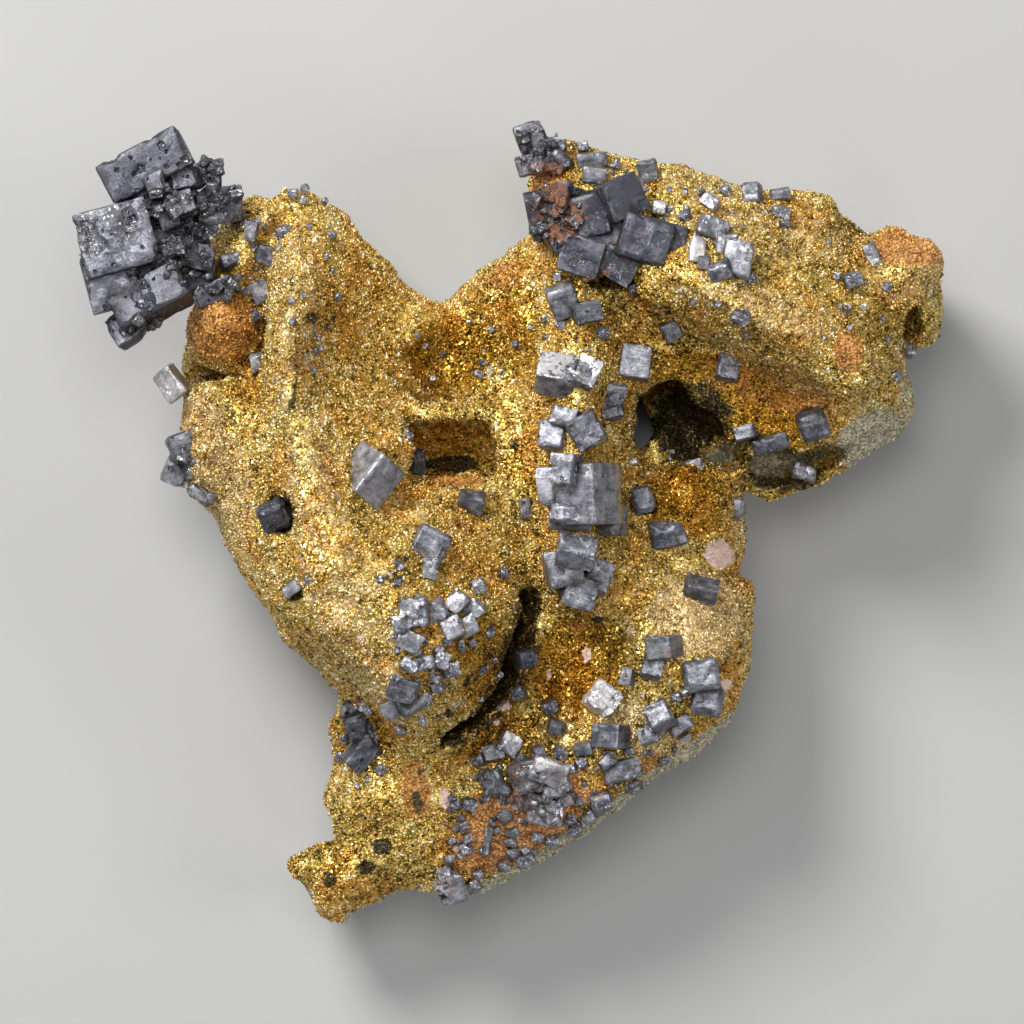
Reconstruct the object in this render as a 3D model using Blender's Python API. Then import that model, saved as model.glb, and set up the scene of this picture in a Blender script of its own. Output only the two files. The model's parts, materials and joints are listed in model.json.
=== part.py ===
"""Acanthite crystals on a druse-coated boxwork matrix, lying face up on its trimmed back."""

import math
from dataclasses import dataclass, replace

import bmesh
import bpy
import numpy as np
from mathutils import Euler, Matrix, Vector

# Driving dimensions, in millimetres
MM = 0.001
PLAN_UNIT = 0.05
PLAN_MIDDLE = (511.2, 523.7)
CELL = 0.55
LINE_STEP = 1.3
RIDGE_SHARPNESS = 0.45
WAIST_LEVEL = 5.5
BACK_LEVEL = 0.0
FIELD_LOW = (-23.0, -21.5, -2.2)
FIELD_HIGH = (23.0, 21.5, 24.0)
JUST_INSIDE = -0.02
MATRIX_TRIANGLES = 2540
SOCKET_GAP = 0.07
SLOPE_SHARE = 0.8
EDGE_ROUND = 0.85
BACK_ROUND = 0.8
LUMP_BLEND = 0.5
HOLLOW_BLEND = 0.35
LOWER_FLARE = 0.075
UPPER_FLARE = 0.006
WALL_ROUGHNESS = 0.42
WALL_WAVE = 5.2
WALL_ROUGH_TOP = 9.5
FACE_ROUGHNESS = 0.12
FACE_WAVE = 2.7
BACK_DROP = 0.4
BACK_ROUGHNESS = 0.55
BACK_WAVE = 15.0
BACK_CUT_WIDTH = 100.0
BACK_CUT_DEPTH = 10.0

# The plan is drawn on a grid of twentieths of a millimetre, X to the right and Y down.
# Each point is a place on the plan and a height in millimetres above the back.
OUTLINE = (
    (281, 189, 12.0), (307, 188, 12.5), (332, 204, 12.0), (347, 214, 11.5), (355, 231, 11.5),
    (374, 250, 11.0), (393, 266, 10.5), (403, 285, 10.0), (439, 300, 9.5), (450, 298, 9.5),
    (479, 270, 10.5), (508, 250, 11.0), (538, 226, 12.0), (534, 200, 12.0), (530, 183, 12.0),
    (535, 160, 11.5), (548, 145, 11.0), (562, 138, 11.0), (590, 147, 11.5), (620, 155, 12.0),
    (650, 160, 12.4), (680, 162, 12.6), (700, 170, 12.4), (730, 183, 12.2), (760, 190, 12.0),
    (800, 190, 11.4), (835, 195, 10.6), (845, 215, 10.0), (860, 228, 10.0), (872, 236, 10.0),
    (893, 225, 9.5), (920, 234, 9.5), (936, 237, 9.0), (950, 265, 9.0), (943, 285, 9.0),
    (948, 315, 8.5), (941, 340, 8.5), (929, 351, 8.5), (912, 347, 9.0), (905, 368, 9.0),
    (917, 390, 8.5), (920, 407, 8.0), (908, 428, 8.0), (880, 450, 8.0), (842, 478, 7.5),
    (800, 492, 7.0), (771, 506, 7.0), (758, 498, 7.0), (745, 490, 8.0), (748, 510, 8.5),
    (745, 560, 9.0), (740, 572, 9.5), (755, 583, 9.5), (757, 620, 9.5), (752, 660, 9.5),
    (743, 703, 9.0), (731, 726, 9.0), (713, 742, 9.0), (666, 777, 9.0), (619, 811, 9.0),
    (590, 834, 8.5), (554, 860, 8.0), (520, 880, 8.0), (483, 897, 7.5), (443, 910, 7.0),
    (431, 900, 7.0), (398, 896, 7.0), (360, 914, 6.6), (340, 927, 6.6), (315, 921, 6.6),
    (300, 897, 7.0), (286, 866, 7.5), (313, 844, 8.0), (330, 842, 8.0), (322, 806, 8.0),
    (328, 760, 8.0), (326, 727, 8.0), (339, 698, 8.5), (319, 673, 9.5), (280, 643, 9.0),
    (266, 611, 9.0), (247, 587, 9.0), (225, 545, 9.0), (209, 514, 9.0), (195, 500, 9.5),
    (181, 470, 9.5), (181, 430, 10.0), (181, 400, 10.5), (181, 365, 10.0), (183, 325, 10.0),
    (196, 300, 10.5), (200, 272, 11.0), (209, 238, 11.2), (228, 206, 12.0), (252, 194, 12.0),
    (270, 200, 12.0),
)

# Crests, edges and feet of the relief
RELIEF_LINES = {
    "spine_edge": ((299, 235, 14.5), (286, 254, 15.5), (278, 315, 17.0), (272, 348, 17.5), (274, 377, 18.0),
                   (284, 441, 19.0), (294, 500, 20.0), (328, 567, 20.6), (350, 620, 20.2), (385, 690, 18.0),
                   (408, 732, 14.0)),
    "spine_foot": ((286, 222, 12.8), (273, 254, 12.8), (266, 315, 12.5), (261, 348, 12.1), (263, 374, 14.0),
                   (273, 441, 17.2), (281, 490, 18.0)),
    "spine_shoulder": ((322, 235, 14.5), (328, 300, 16.2), (318, 348, 17.2), (322, 400, 18.2),
                       (338, 440, 18.8), (352, 520, 20.2)),
    "saddle_crease": ((359, 346, 13.4), (374, 361, 12.8), (401, 400, 12.4), (405, 425, 13.4)),
    "saddle_bottom": ((412, 306, 10.6), (445, 320, 10.2), (448, 360, 9.6), (436, 396, 9.2)),
    "saddle_east": ((500, 275, 11.8), (518, 330, 12.6), (506, 385, 12.4)),
    "lip": ((402, 414, 13.2), (450, 412, 12.4), (498, 416, 13.4)),
    "recess_south": ((410, 486, 14.2), (450, 485, 13.8), (492, 482, 13.8)),
    "recess_west": ((394, 440, 15.6), (398, 480, 15.6)),
    "belly_top": ((352, 560, 20.8), (396, 560, 20.0), (440, 580, 19.0), (480, 590, 17.2), (510, 600, 15.2)),
    "belly_middle": ((400, 640, 20.3), (440, 650, 19.6), (478, 650, 18.0)),
    "belly_low": ((420, 700, 17.6), (455, 700, 16.6)),
    "belly_brink": ((512, 604, 15.6), (506, 640, 16.0), (492, 680, 15.4), (473, 706, 14.6), (448, 728, 13.4),
                    (425, 740, 12.8)),
    "gap_foot": ((550, 606, 12.0), (544, 650, 10.8), (526, 694, 10.4), (502, 728, 10.2), (464, 756, 10.2)),
    "middle_slope": ((430, 500, 15.8), (470, 505, 14.4), (510, 520, 13.8), (522, 560, 13.2),
                     (524, 594, 12.6)),
    "middle_west": ((372, 440, 16.4), (386, 505, 17.4), (440, 540, 17.4), (490, 572, 15.2)),
    "column_crest": ((560, 255, 14.5), (565, 300, 15.0), (578, 340, 16.0), (570, 380, 17.0), (566, 430, 17.4),
                     (575, 490, 17.8), (578, 545, 16.8), (590, 592, 14.2)),
    "column_west": ((535, 300, 13.0), (534, 350, 13.5), (526, 400, 13.6), (520, 450, 13.6), (528, 500, 13.5),
                    (536, 560, 13.0), (546, 604, 12.0)),
    "column_face": ((612, 340, 14.4), (618, 400, 14.0), (618, 450, 13.8), (618, 510, 13.6), (618, 560, 13.0)),
    "column_brink": ((634, 362, 12.6), (631, 400, 12.2), (630, 450, 12.2), (632, 480, 12.0)),
    "ridge_crest": ((650, 272, 16.6), (690, 297, 17.4), (740, 324, 17.5), (800, 350, 17.0), (846, 366, 16.0)),
    "ridge_foot": ((640, 300, 14.2), (680, 330, 13.4), (730, 354, 12.8), (790, 382, 12.6), (850, 396, 12.4)),
    "lobe_north": ((580, 180, 13.6), (600, 220, 14.6), (640, 240, 15.2), (660, 190, 14.2), (700, 200, 14.8)),
    "lobe_top": ((700, 240, 16.2), (760, 230, 15.0), (760, 285, 16.4), (820, 230, 13.6), (820, 290, 14.8)),
    "lobe_east": ((870, 265, 12.6), (880, 300, 12.6), (842, 325, 14.4), (880, 340, 12.0), (890, 390, 10.6)),
    "lobe_under": ((660, 352, 12.4), (700, 372, 11.8), (760, 404, 11.4), (805, 412, 11.4), (850, 425, 10.4)),
    "cavity_rim": ((720, 470, 10.4), (760, 470, 9.4), (810, 470, 9.2), (850, 450, 9.4)),
    "mound_top": ((650, 482, 11.4), (690, 470, 10.8), (690, 512, 12.4), (722, 530, 12.2), (660, 546, 12.2)),
    "ledge_back": ((600, 622, 12.4), (650, 622, 12.8), (700, 610, 12.6), (724, 652, 12.2), (694, 700, 12.0)),
    "ledge_bowl": ((570, 640, 11.2), (600, 684, 11.6), (640, 720, 11.6), (582, 730, 11.2)),
    "ledge_front": ((524, 770, 10.8), (600, 780, 10.9), (556, 822, 10.4)),
    "ledge_south": ((500, 840, 9.8), (452, 830, 10.0), (450, 872, 8.8)),
    "south_west": ((404, 770, 11.2), (362, 716, 10.6), (352, 760, 10.0), (382, 804, 10.8), (424, 812, 10.4)),
    "foot": ((352, 822, 9.6), (404, 850, 9.4), (352, 882, 8.8), (318, 880, 8.2)),
    "west_flank": ((205, 398, 12.6), (232, 400, 14.2), (220, 440, 13.4), (242, 482, 14.6), (250, 545, 15.0)),
    "west_lower": ((282, 560, 18.2), (300, 604, 18.4), (272, 604, 14.0), (312, 640, 16.6), (344, 674, 15.0)),
    "neck": ((270, 216, 13.4), (254, 240, 13.0), (242, 290, 12.6), (250, 330, 12.0), (240, 366, 11.2)),
    "knobs": ((905, 256, 12.2), (926, 270, 11.6), (931, 320, 10.6)),
}


def at(x, y):
    """Return a plan place as millimetres about the middle of the specimen."""
    return (x - PLAN_MIDDLE[0]) * PLAN_UNIT, (PLAN_MIDDLE[1] - y) * PLAN_UNIT


def along(line, step=LINE_STEP):
    """Return points along a line of plan places and heights, no more than a step apart."""
    points = [(*at(x, y), z) for x, y, z in line]
    result = [points[0]]
    for start, end in zip(points, points[1:]):
        count = max(1, math.ceil(math.dist(start[:2], end[:2]) / step))
        for index in range(1, count + 1):
            share = index / count
            result.append(tuple(a + (b - a) * share for a, b in zip(start, end)))
    return result


def spread_points(points, least=0.3):
    """Return the points without those that lie on one already taken."""
    kept = []
    for point in points:
        if all(math.dist(point[:2], other[:2]) > least for other in kept):
            kept.append(point)
    return np.array(kept)


class Relief:
    """The height of the druse over the plan, drawn smoothly through the crest and foot lines."""

    def __init__(self):
        """Solve the weights that make the surface pass through every line."""
        points = list(along(OUTLINE + OUTLINE[:1]))
        for line in RELIEF_LINES.values():
            points += along(line)
        known = spread_points(points)
        self.places = known[:, :2]
        self.mean = known[:, 2].mean()
        reach = np.linalg.norm(self.places[:, None] - self.places[None], axis=2)
        self.weights = np.linalg.solve(np.sqrt(reach ** 2 + RIDGE_SHARPNESS ** 2), known[:, 2] - self.mean)

    def height(self, x, y):
        """Return the height in millimetres over plan places, as an array of their shape."""
        flat = np.stack([np.ravel(x), np.ravel(y)], axis=1)
        reach = np.linalg.norm(flat[:, None] - self.places[None], axis=2)
        drawn = np.sqrt(reach ** 2 + RIDGE_SHARPNESS ** 2) @ self.weights + self.mean
        return drawn.reshape(np.shape(x))


def polygon_distance(x, y, corners):
    """Return the signed distance to a polygon, below zero inside it."""
    points = [at(corner[0], corner[1]) for corner in corners]
    nearest = np.full(np.shape(x), np.inf)
    crossings = np.zeros(np.shape(x), dtype=int)
    for (ax, ay), (bx, by) in zip(points, points[1:] + points[:1]):
        dx, dy = bx - ax, by - ay
        share = np.clip(((x - ax) * dx + (y - ay) * dy) / (dx * dx + dy * dy), 0.0, 1.0)
        nearest = np.minimum(nearest, np.hypot(x - ax - share * dx, y - ay - share * dy))
        spans = (ay > y) != (by > y)
        crossings += spans & (x < ax + (y - ay) * dx / (dy if dy else 1e-9))
    return np.where(crossings % 2 == 1, -nearest, nearest)


def line_distance(x, y, line):
    """Return the distance in plan to a line of plan places, each with its half width."""
    nearest = np.full(np.shape(x), np.inf)
    points = [(*at(place[0], place[1]), place[2]) for place in line]
    for (ax, ay, aw), (bx, by, bw) in zip(points, points[1:]):
        dx, dy = bx - ax, by - ay
        share = np.clip(((x - ax) * dx + (y - ay) * dy) / (dx * dx + dy * dy), 0.0, 1.0)
        reach = np.hypot(x - ax - share * dx, y - ay - share * dy)
        nearest = np.minimum(nearest, reach - aw - share * (bw - aw))
    return nearest


def blend_max(a, b, radius):
    """Return the greater of two fields, rounded over a radius where they meet."""
    share = np.maximum(radius - np.abs(a - b), 0.0) / radius
    return np.maximum(a, b) + share * share * radius * 0.25


def blend_min(a, b, radius):
    """Return the lesser of two fields, rounded over a radius where they meet."""
    return -blend_max(-a, -b, radius)


def ellipsoid(x, y, z, centre, radii):
    """Return a field that is below zero inside an ellipsoid, given by plan place, level and radii."""
    cx, cy = at(centre[0], centre[1])
    gaps = zip((x, y, z), (cx, cy, centre[2]), radii)
    reach = np.sqrt(sum(((value - middle) / radius) ** 2 for value, middle, radius in gaps))
    return (reach - 1.0) * min(radii)


def rounded_bar(x, y, z, start, end, radius):
    """Return the distance to a bar with round ends between two points of plan place and level."""
    a = np.array([*at(start[0], start[1]), start[2]])
    b = np.array([*at(end[0], end[1]), end[2]])
    along_bar = b - a
    share = ((x - a[0]) * along_bar[0] + (y - a[1]) * along_bar[1] + (z - a[2]) * along_bar[2])
    share = np.clip(share / (along_bar @ along_bar), 0.0, 1.0)
    gap = [value - a[k] - share * along_bar[k] for k, value in enumerate((x, y, z))]
    return np.sqrt(gap[0] ** 2 + gap[1] ** 2 + gap[2] ** 2) - radius


def rounded_box(x, y, z, centre, half, radius):
    """Return the distance to a box with rounded edges, given by plan place, level and half sizes."""
    cx, cy = at(centre[0], centre[1])
    gaps = [np.abs(value - middle) - size + radius
            for value, middle, size in zip((x, y, z), (cx, cy, centre[2]), half)]
    outside = np.sqrt(sum(np.maximum(gap, 0.0) ** 2 for gap in gaps))
    return outside + np.minimum(np.maximum.reduce(gaps), 0.0) - radius


def ripple(x, y, z, length):
    """Return gentle uneven waves between about -1 and 1 with a given wave length."""
    turn = 2.0 * math.pi / length
    first = np.sin(turn * (x + 0.3 * y + 0.5 * z) + 1.7 * np.sin(turn * (0.43 * y - 0.31 * z) + 0.4))
    second = np.sin(turn * (0.9 * y - 0.4 * x + 0.3 * z) + 1.9 * np.sin(turn * (0.37 * x + 0.52 * z) + 2.1))
    third = np.sin(turn * (0.8 * z + 0.6 * x - 0.5 * y) + 1.3 * np.sin(turn * (0.61 * x + 0.29 * y) + 4.0))
    return (first + second + third) / 3.0


# Lumps that stand on the relief: centre as plan place and level, radii in millimetres
LUMPS = {
    "ball": ((221, 326, 10.9), (2.0, 2.3, 2.6)),
    "mound": ((686, 506, 9.6), (2.5, 2.5, 3.9)),
    "far_knob": ((920, 262, 9.8), (1.45, 1.45, 2.6)),
    "low_knob": ((930, 324, 8.6), (0.95, 1.3, 2.2)),
    "west_knob": ((205, 455, 10.0), (1.6, 2.2, 3.0)),
}

# Hollows: centre as plan place and level, radii in millimetres
HOLLOWS = {
    "hole_cavity": ((696, 436, 9.0), (1.75, 1.7, 5.0)),
    "hole_cavity_mouth": ((670, 404, 9.0), (1.4, 1.6, 4.6)),
    "hole_cavity_low": ((724, 458, 9.0), (1.5, 0.95, 4.4)),
    "lobe_cavity": ((790, 466, 8.2), (2.3, 0.9, 3.6)),
    "lobe_cavity_east": ((826, 452, 8.6), (1.1, 0.6, 2.6)),
    "knob_cavity": ((913, 322, 10.0), (0.55, 1.0, 2.4)),
    "pit": ((281, 514, 18.6), (1.0, 1.0, 3.0)),
    "small_pit": ((297, 592, 18.3), (0.5, 0.45, 1.2)),
    "ball_shadow": ((212, 377, 10.6), (1.9, 0.42, 1.9)),
    "neck_hollow": ((262, 345, 11.6), (0.5, 1.6, 1.6)),
    "saddle_foot": ((440, 401, 9.8), (1.7, 0.4, 1.3)),
    "group_shadow": ((612, 284, 14.2), (2.6, 0.6, 1.6)),
    "back_hollow_east": ((790, 330, -0.4), (5.0, 3.4, 2.0)),
    "back_hollow_south": ((560, 700, -0.4), (4.6, 3.2, 1.8)),
}

HOLE = ((637, 388), (650, 398), (666, 424), (653, 446), (637, 461), (631, 440), (632, 402))
TRENCH = ((530, 600, 0.6), (523, 640, 0.85), (507, 684, 0.75), (484, 716, 0.65), (448, 742, 0.5))
TRENCH_FLOOR = 5.4
TRENCH_LEAN = 0.22
TRENCH_BRIM = 13.0
RIDGE_BAR = ((655, 274, 15.7), (848, 368, 14.8), 1.25)
LIP_BAR = ((406, 413, 12.2), (496, 415, 12.7), 0.42)
RECESS = ((451, 450, 10.2), (2.35, 1.5, 3.9), 0.35)


def matrix_field(x, y, z, height, edge):
    """Return the field of the matrix, below zero inside it.

    x, y and z are coordinates in millimetres, height is the relief over the plan and edge is the
    signed distance to the outline in plan.
    """
    field = (z - height) * SLOPE_SHARE
    for centre, radii in LUMPS.values():
        field = blend_min(field, ellipsoid(x, y, z, centre, radii), LUMP_BLEND)
    field = blend_min(field, rounded_bar(x, y, z, *RIDGE_BAR), LUMP_BLEND)
    field = blend_min(field, rounded_bar(x, y, z, *LIP_BAR), HOLLOW_BLEND)
    lower = np.maximum(WAIST_LEVEL - z, 0.0)
    upper = np.maximum(z - WAIST_LEVEL, 0.0)
    wall = edge + LOWER_FLARE * lower ** 2 + UPPER_FLARE * upper ** 2
    rough = WALL_ROUGHNESS * np.clip((WALL_ROUGH_TOP - z) / WAIST_LEVEL, 0.0, 1.0)
    wall = wall + rough * (1.0 + ripple(x, y, z, WALL_WAVE))
    field = blend_max(field, wall, EDGE_ROUND)
    back = BACK_LEVEL - BACK_DROP + BACK_ROUGHNESS * ripple(x, y, z, BACK_WAVE) - z
    field = blend_max(field, back, BACK_ROUND)
    for centre, radii in HOLLOWS.values():
        field = blend_max(field, -ellipsoid(x, y, z, centre, radii), HOLLOW_BLEND)
    field = blend_max(field, -rounded_box(x, y, z, *RECESS), HOLLOW_BLEND)
    trench = line_distance(x + TRENCH_LEAN * (TRENCH_BRIM - z), y, TRENCH)
    trench = blend_max(trench, TRENCH_FLOOR - z, HOLLOW_BLEND)
    field = blend_max(field, -trench, HOLLOW_BLEND)
    field = blend_max(field, -polygon_distance(x, y, HOLE), HOLLOW_BLEND)
    return field + FACE_ROUGHNESS * np.clip(z / WAIST_LEVEL, 0.0, 1.0) * ripple(x, y, z, FACE_WAVE)


def settle_faces(values):
    """Fill the corners that would let the surface touch itself, until none is left."""
    while True:
        changed = 0
        for axis in range(3):
            first, second = [k for k in range(3) if k != axis]
            views = []
            for i in (0, 1):
                for j in (0, 1):
                    cut = [slice(None)] * 3
                    cut[first] = slice(i, values.shape[first] - 1 + i)
                    cut[second] = slice(j, values.shape[second] - 1 + j)
                    views.append(values[tuple(cut)])
            inside = [view < 0 for view in views]
            crossed = (inside[0] == inside[3]) & (inside[1] == inside[2]) & (inside[0] != inside[1])
            changed += int(crossed.sum())
            for view in views:
                view[crossed & (view >= 0)] = JUST_INSIDE
        corners = [values[i:values.shape[0] - 1 + i, j:values.shape[1] - 1 + j, k:values.shape[2] - 1 + k]
                   for i in (0, 1) for j in (0, 1) for k in (0, 1)]
        inside = [corner < 0 for corner in corners]
        count = sum(state.astype(int) for state in inside)
        for low in range(4):
            pair_in = (count == 2) & inside[low] & inside[7 - low]
            pair_out = (count == 6) & ~inside[low] & ~inside[7 - low]
            crossed = pair_in | pair_out
            changed += int(crossed.sum())
            for corner in corners:
                corner[crossed & (corner >= 0)] = JUST_INSIDE
        if not changed:
            return values


def surface_net(values, low, cell):
    """Return the vertices and four-sided faces of the zero surface of a sampled field."""
    cells = tuple(n - 1 for n in values.shape)
    total = np.zeros(cells + (3,))
    count = np.zeros(cells)
    for axis in range(3):
        first, second = [k for k in range(3) if k != axis]
        for i in (0, 1):
            for j in (0, 1):
                offset = [0, 0, 0]
                offset[first], offset[second] = i, j
                start = values[tuple(slice(o, o + n) for o, n in zip(offset, cells))]
                offset[axis] = 1
                end = values[tuple(slice(o, o + n) for o, n in zip(offset, cells))]
                crossed = (start < 0) != (end < 0)
                share = np.where(crossed, start / np.where(crossed, start - end, 1.0), 0.0)
                total[..., first] += crossed * i
                total[..., second] += crossed * j
                total[..., axis] += crossed * share
                count += crossed
    active = count > 0
    ids = np.full(cells, -1)
    ids[active] = np.arange(int(active.sum()))
    places = np.argwhere(active) + total[active] / count[active][:, None]
    vertices = places * cell + np.array(low)
    faces = []
    inside = values < 0
    for axis in range(3):
        first, second = (axis + 1) % 3, (axis + 2) % 3
        here = [slice(1, -1)] * 3
        there = [slice(1, -1)] * 3
        here[axis] = slice(0, -1)
        there[axis] = slice(1, None)
        change = inside[tuple(here)] != inside[tuple(there)]
        node = np.argwhere(change)
        node[:, first] += 1
        node[:, second] += 1
        outward = inside[tuple(here)][change]
        corners = []
        for di, dj in ((1, 1), (0, 1), (0, 0), (1, 0)):
            index = node.copy()
            index[:, first] -= di
            index[:, second] -= dj
            corners.append(ids[tuple(index.T)])
        quads = np.stack(corners, axis=1)
        quads[~outward] = quads[~outward][:, ::-1]
        faces.append(quads)
    return vertices, np.concatenate(faces)


@dataclass(frozen=True)
class Block:
    """One pseudocubic crystal: its plan place, its edges in millimetres and its turns in degrees.

    rise is how far its middle stands above the druse, and level sets the middle's height instead.
    edge is the chamfer as a share of the shortest side, and 0 leaves the edges sharp.
    """

    x: float
    y: float
    length: float
    width: float
    height: float
    turn: float = 0.0
    tilt: float = 0.0
    roll: float = 0.0
    rise: float = 0.2
    level: float = 0.0
    edge: float = 0.13


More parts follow.
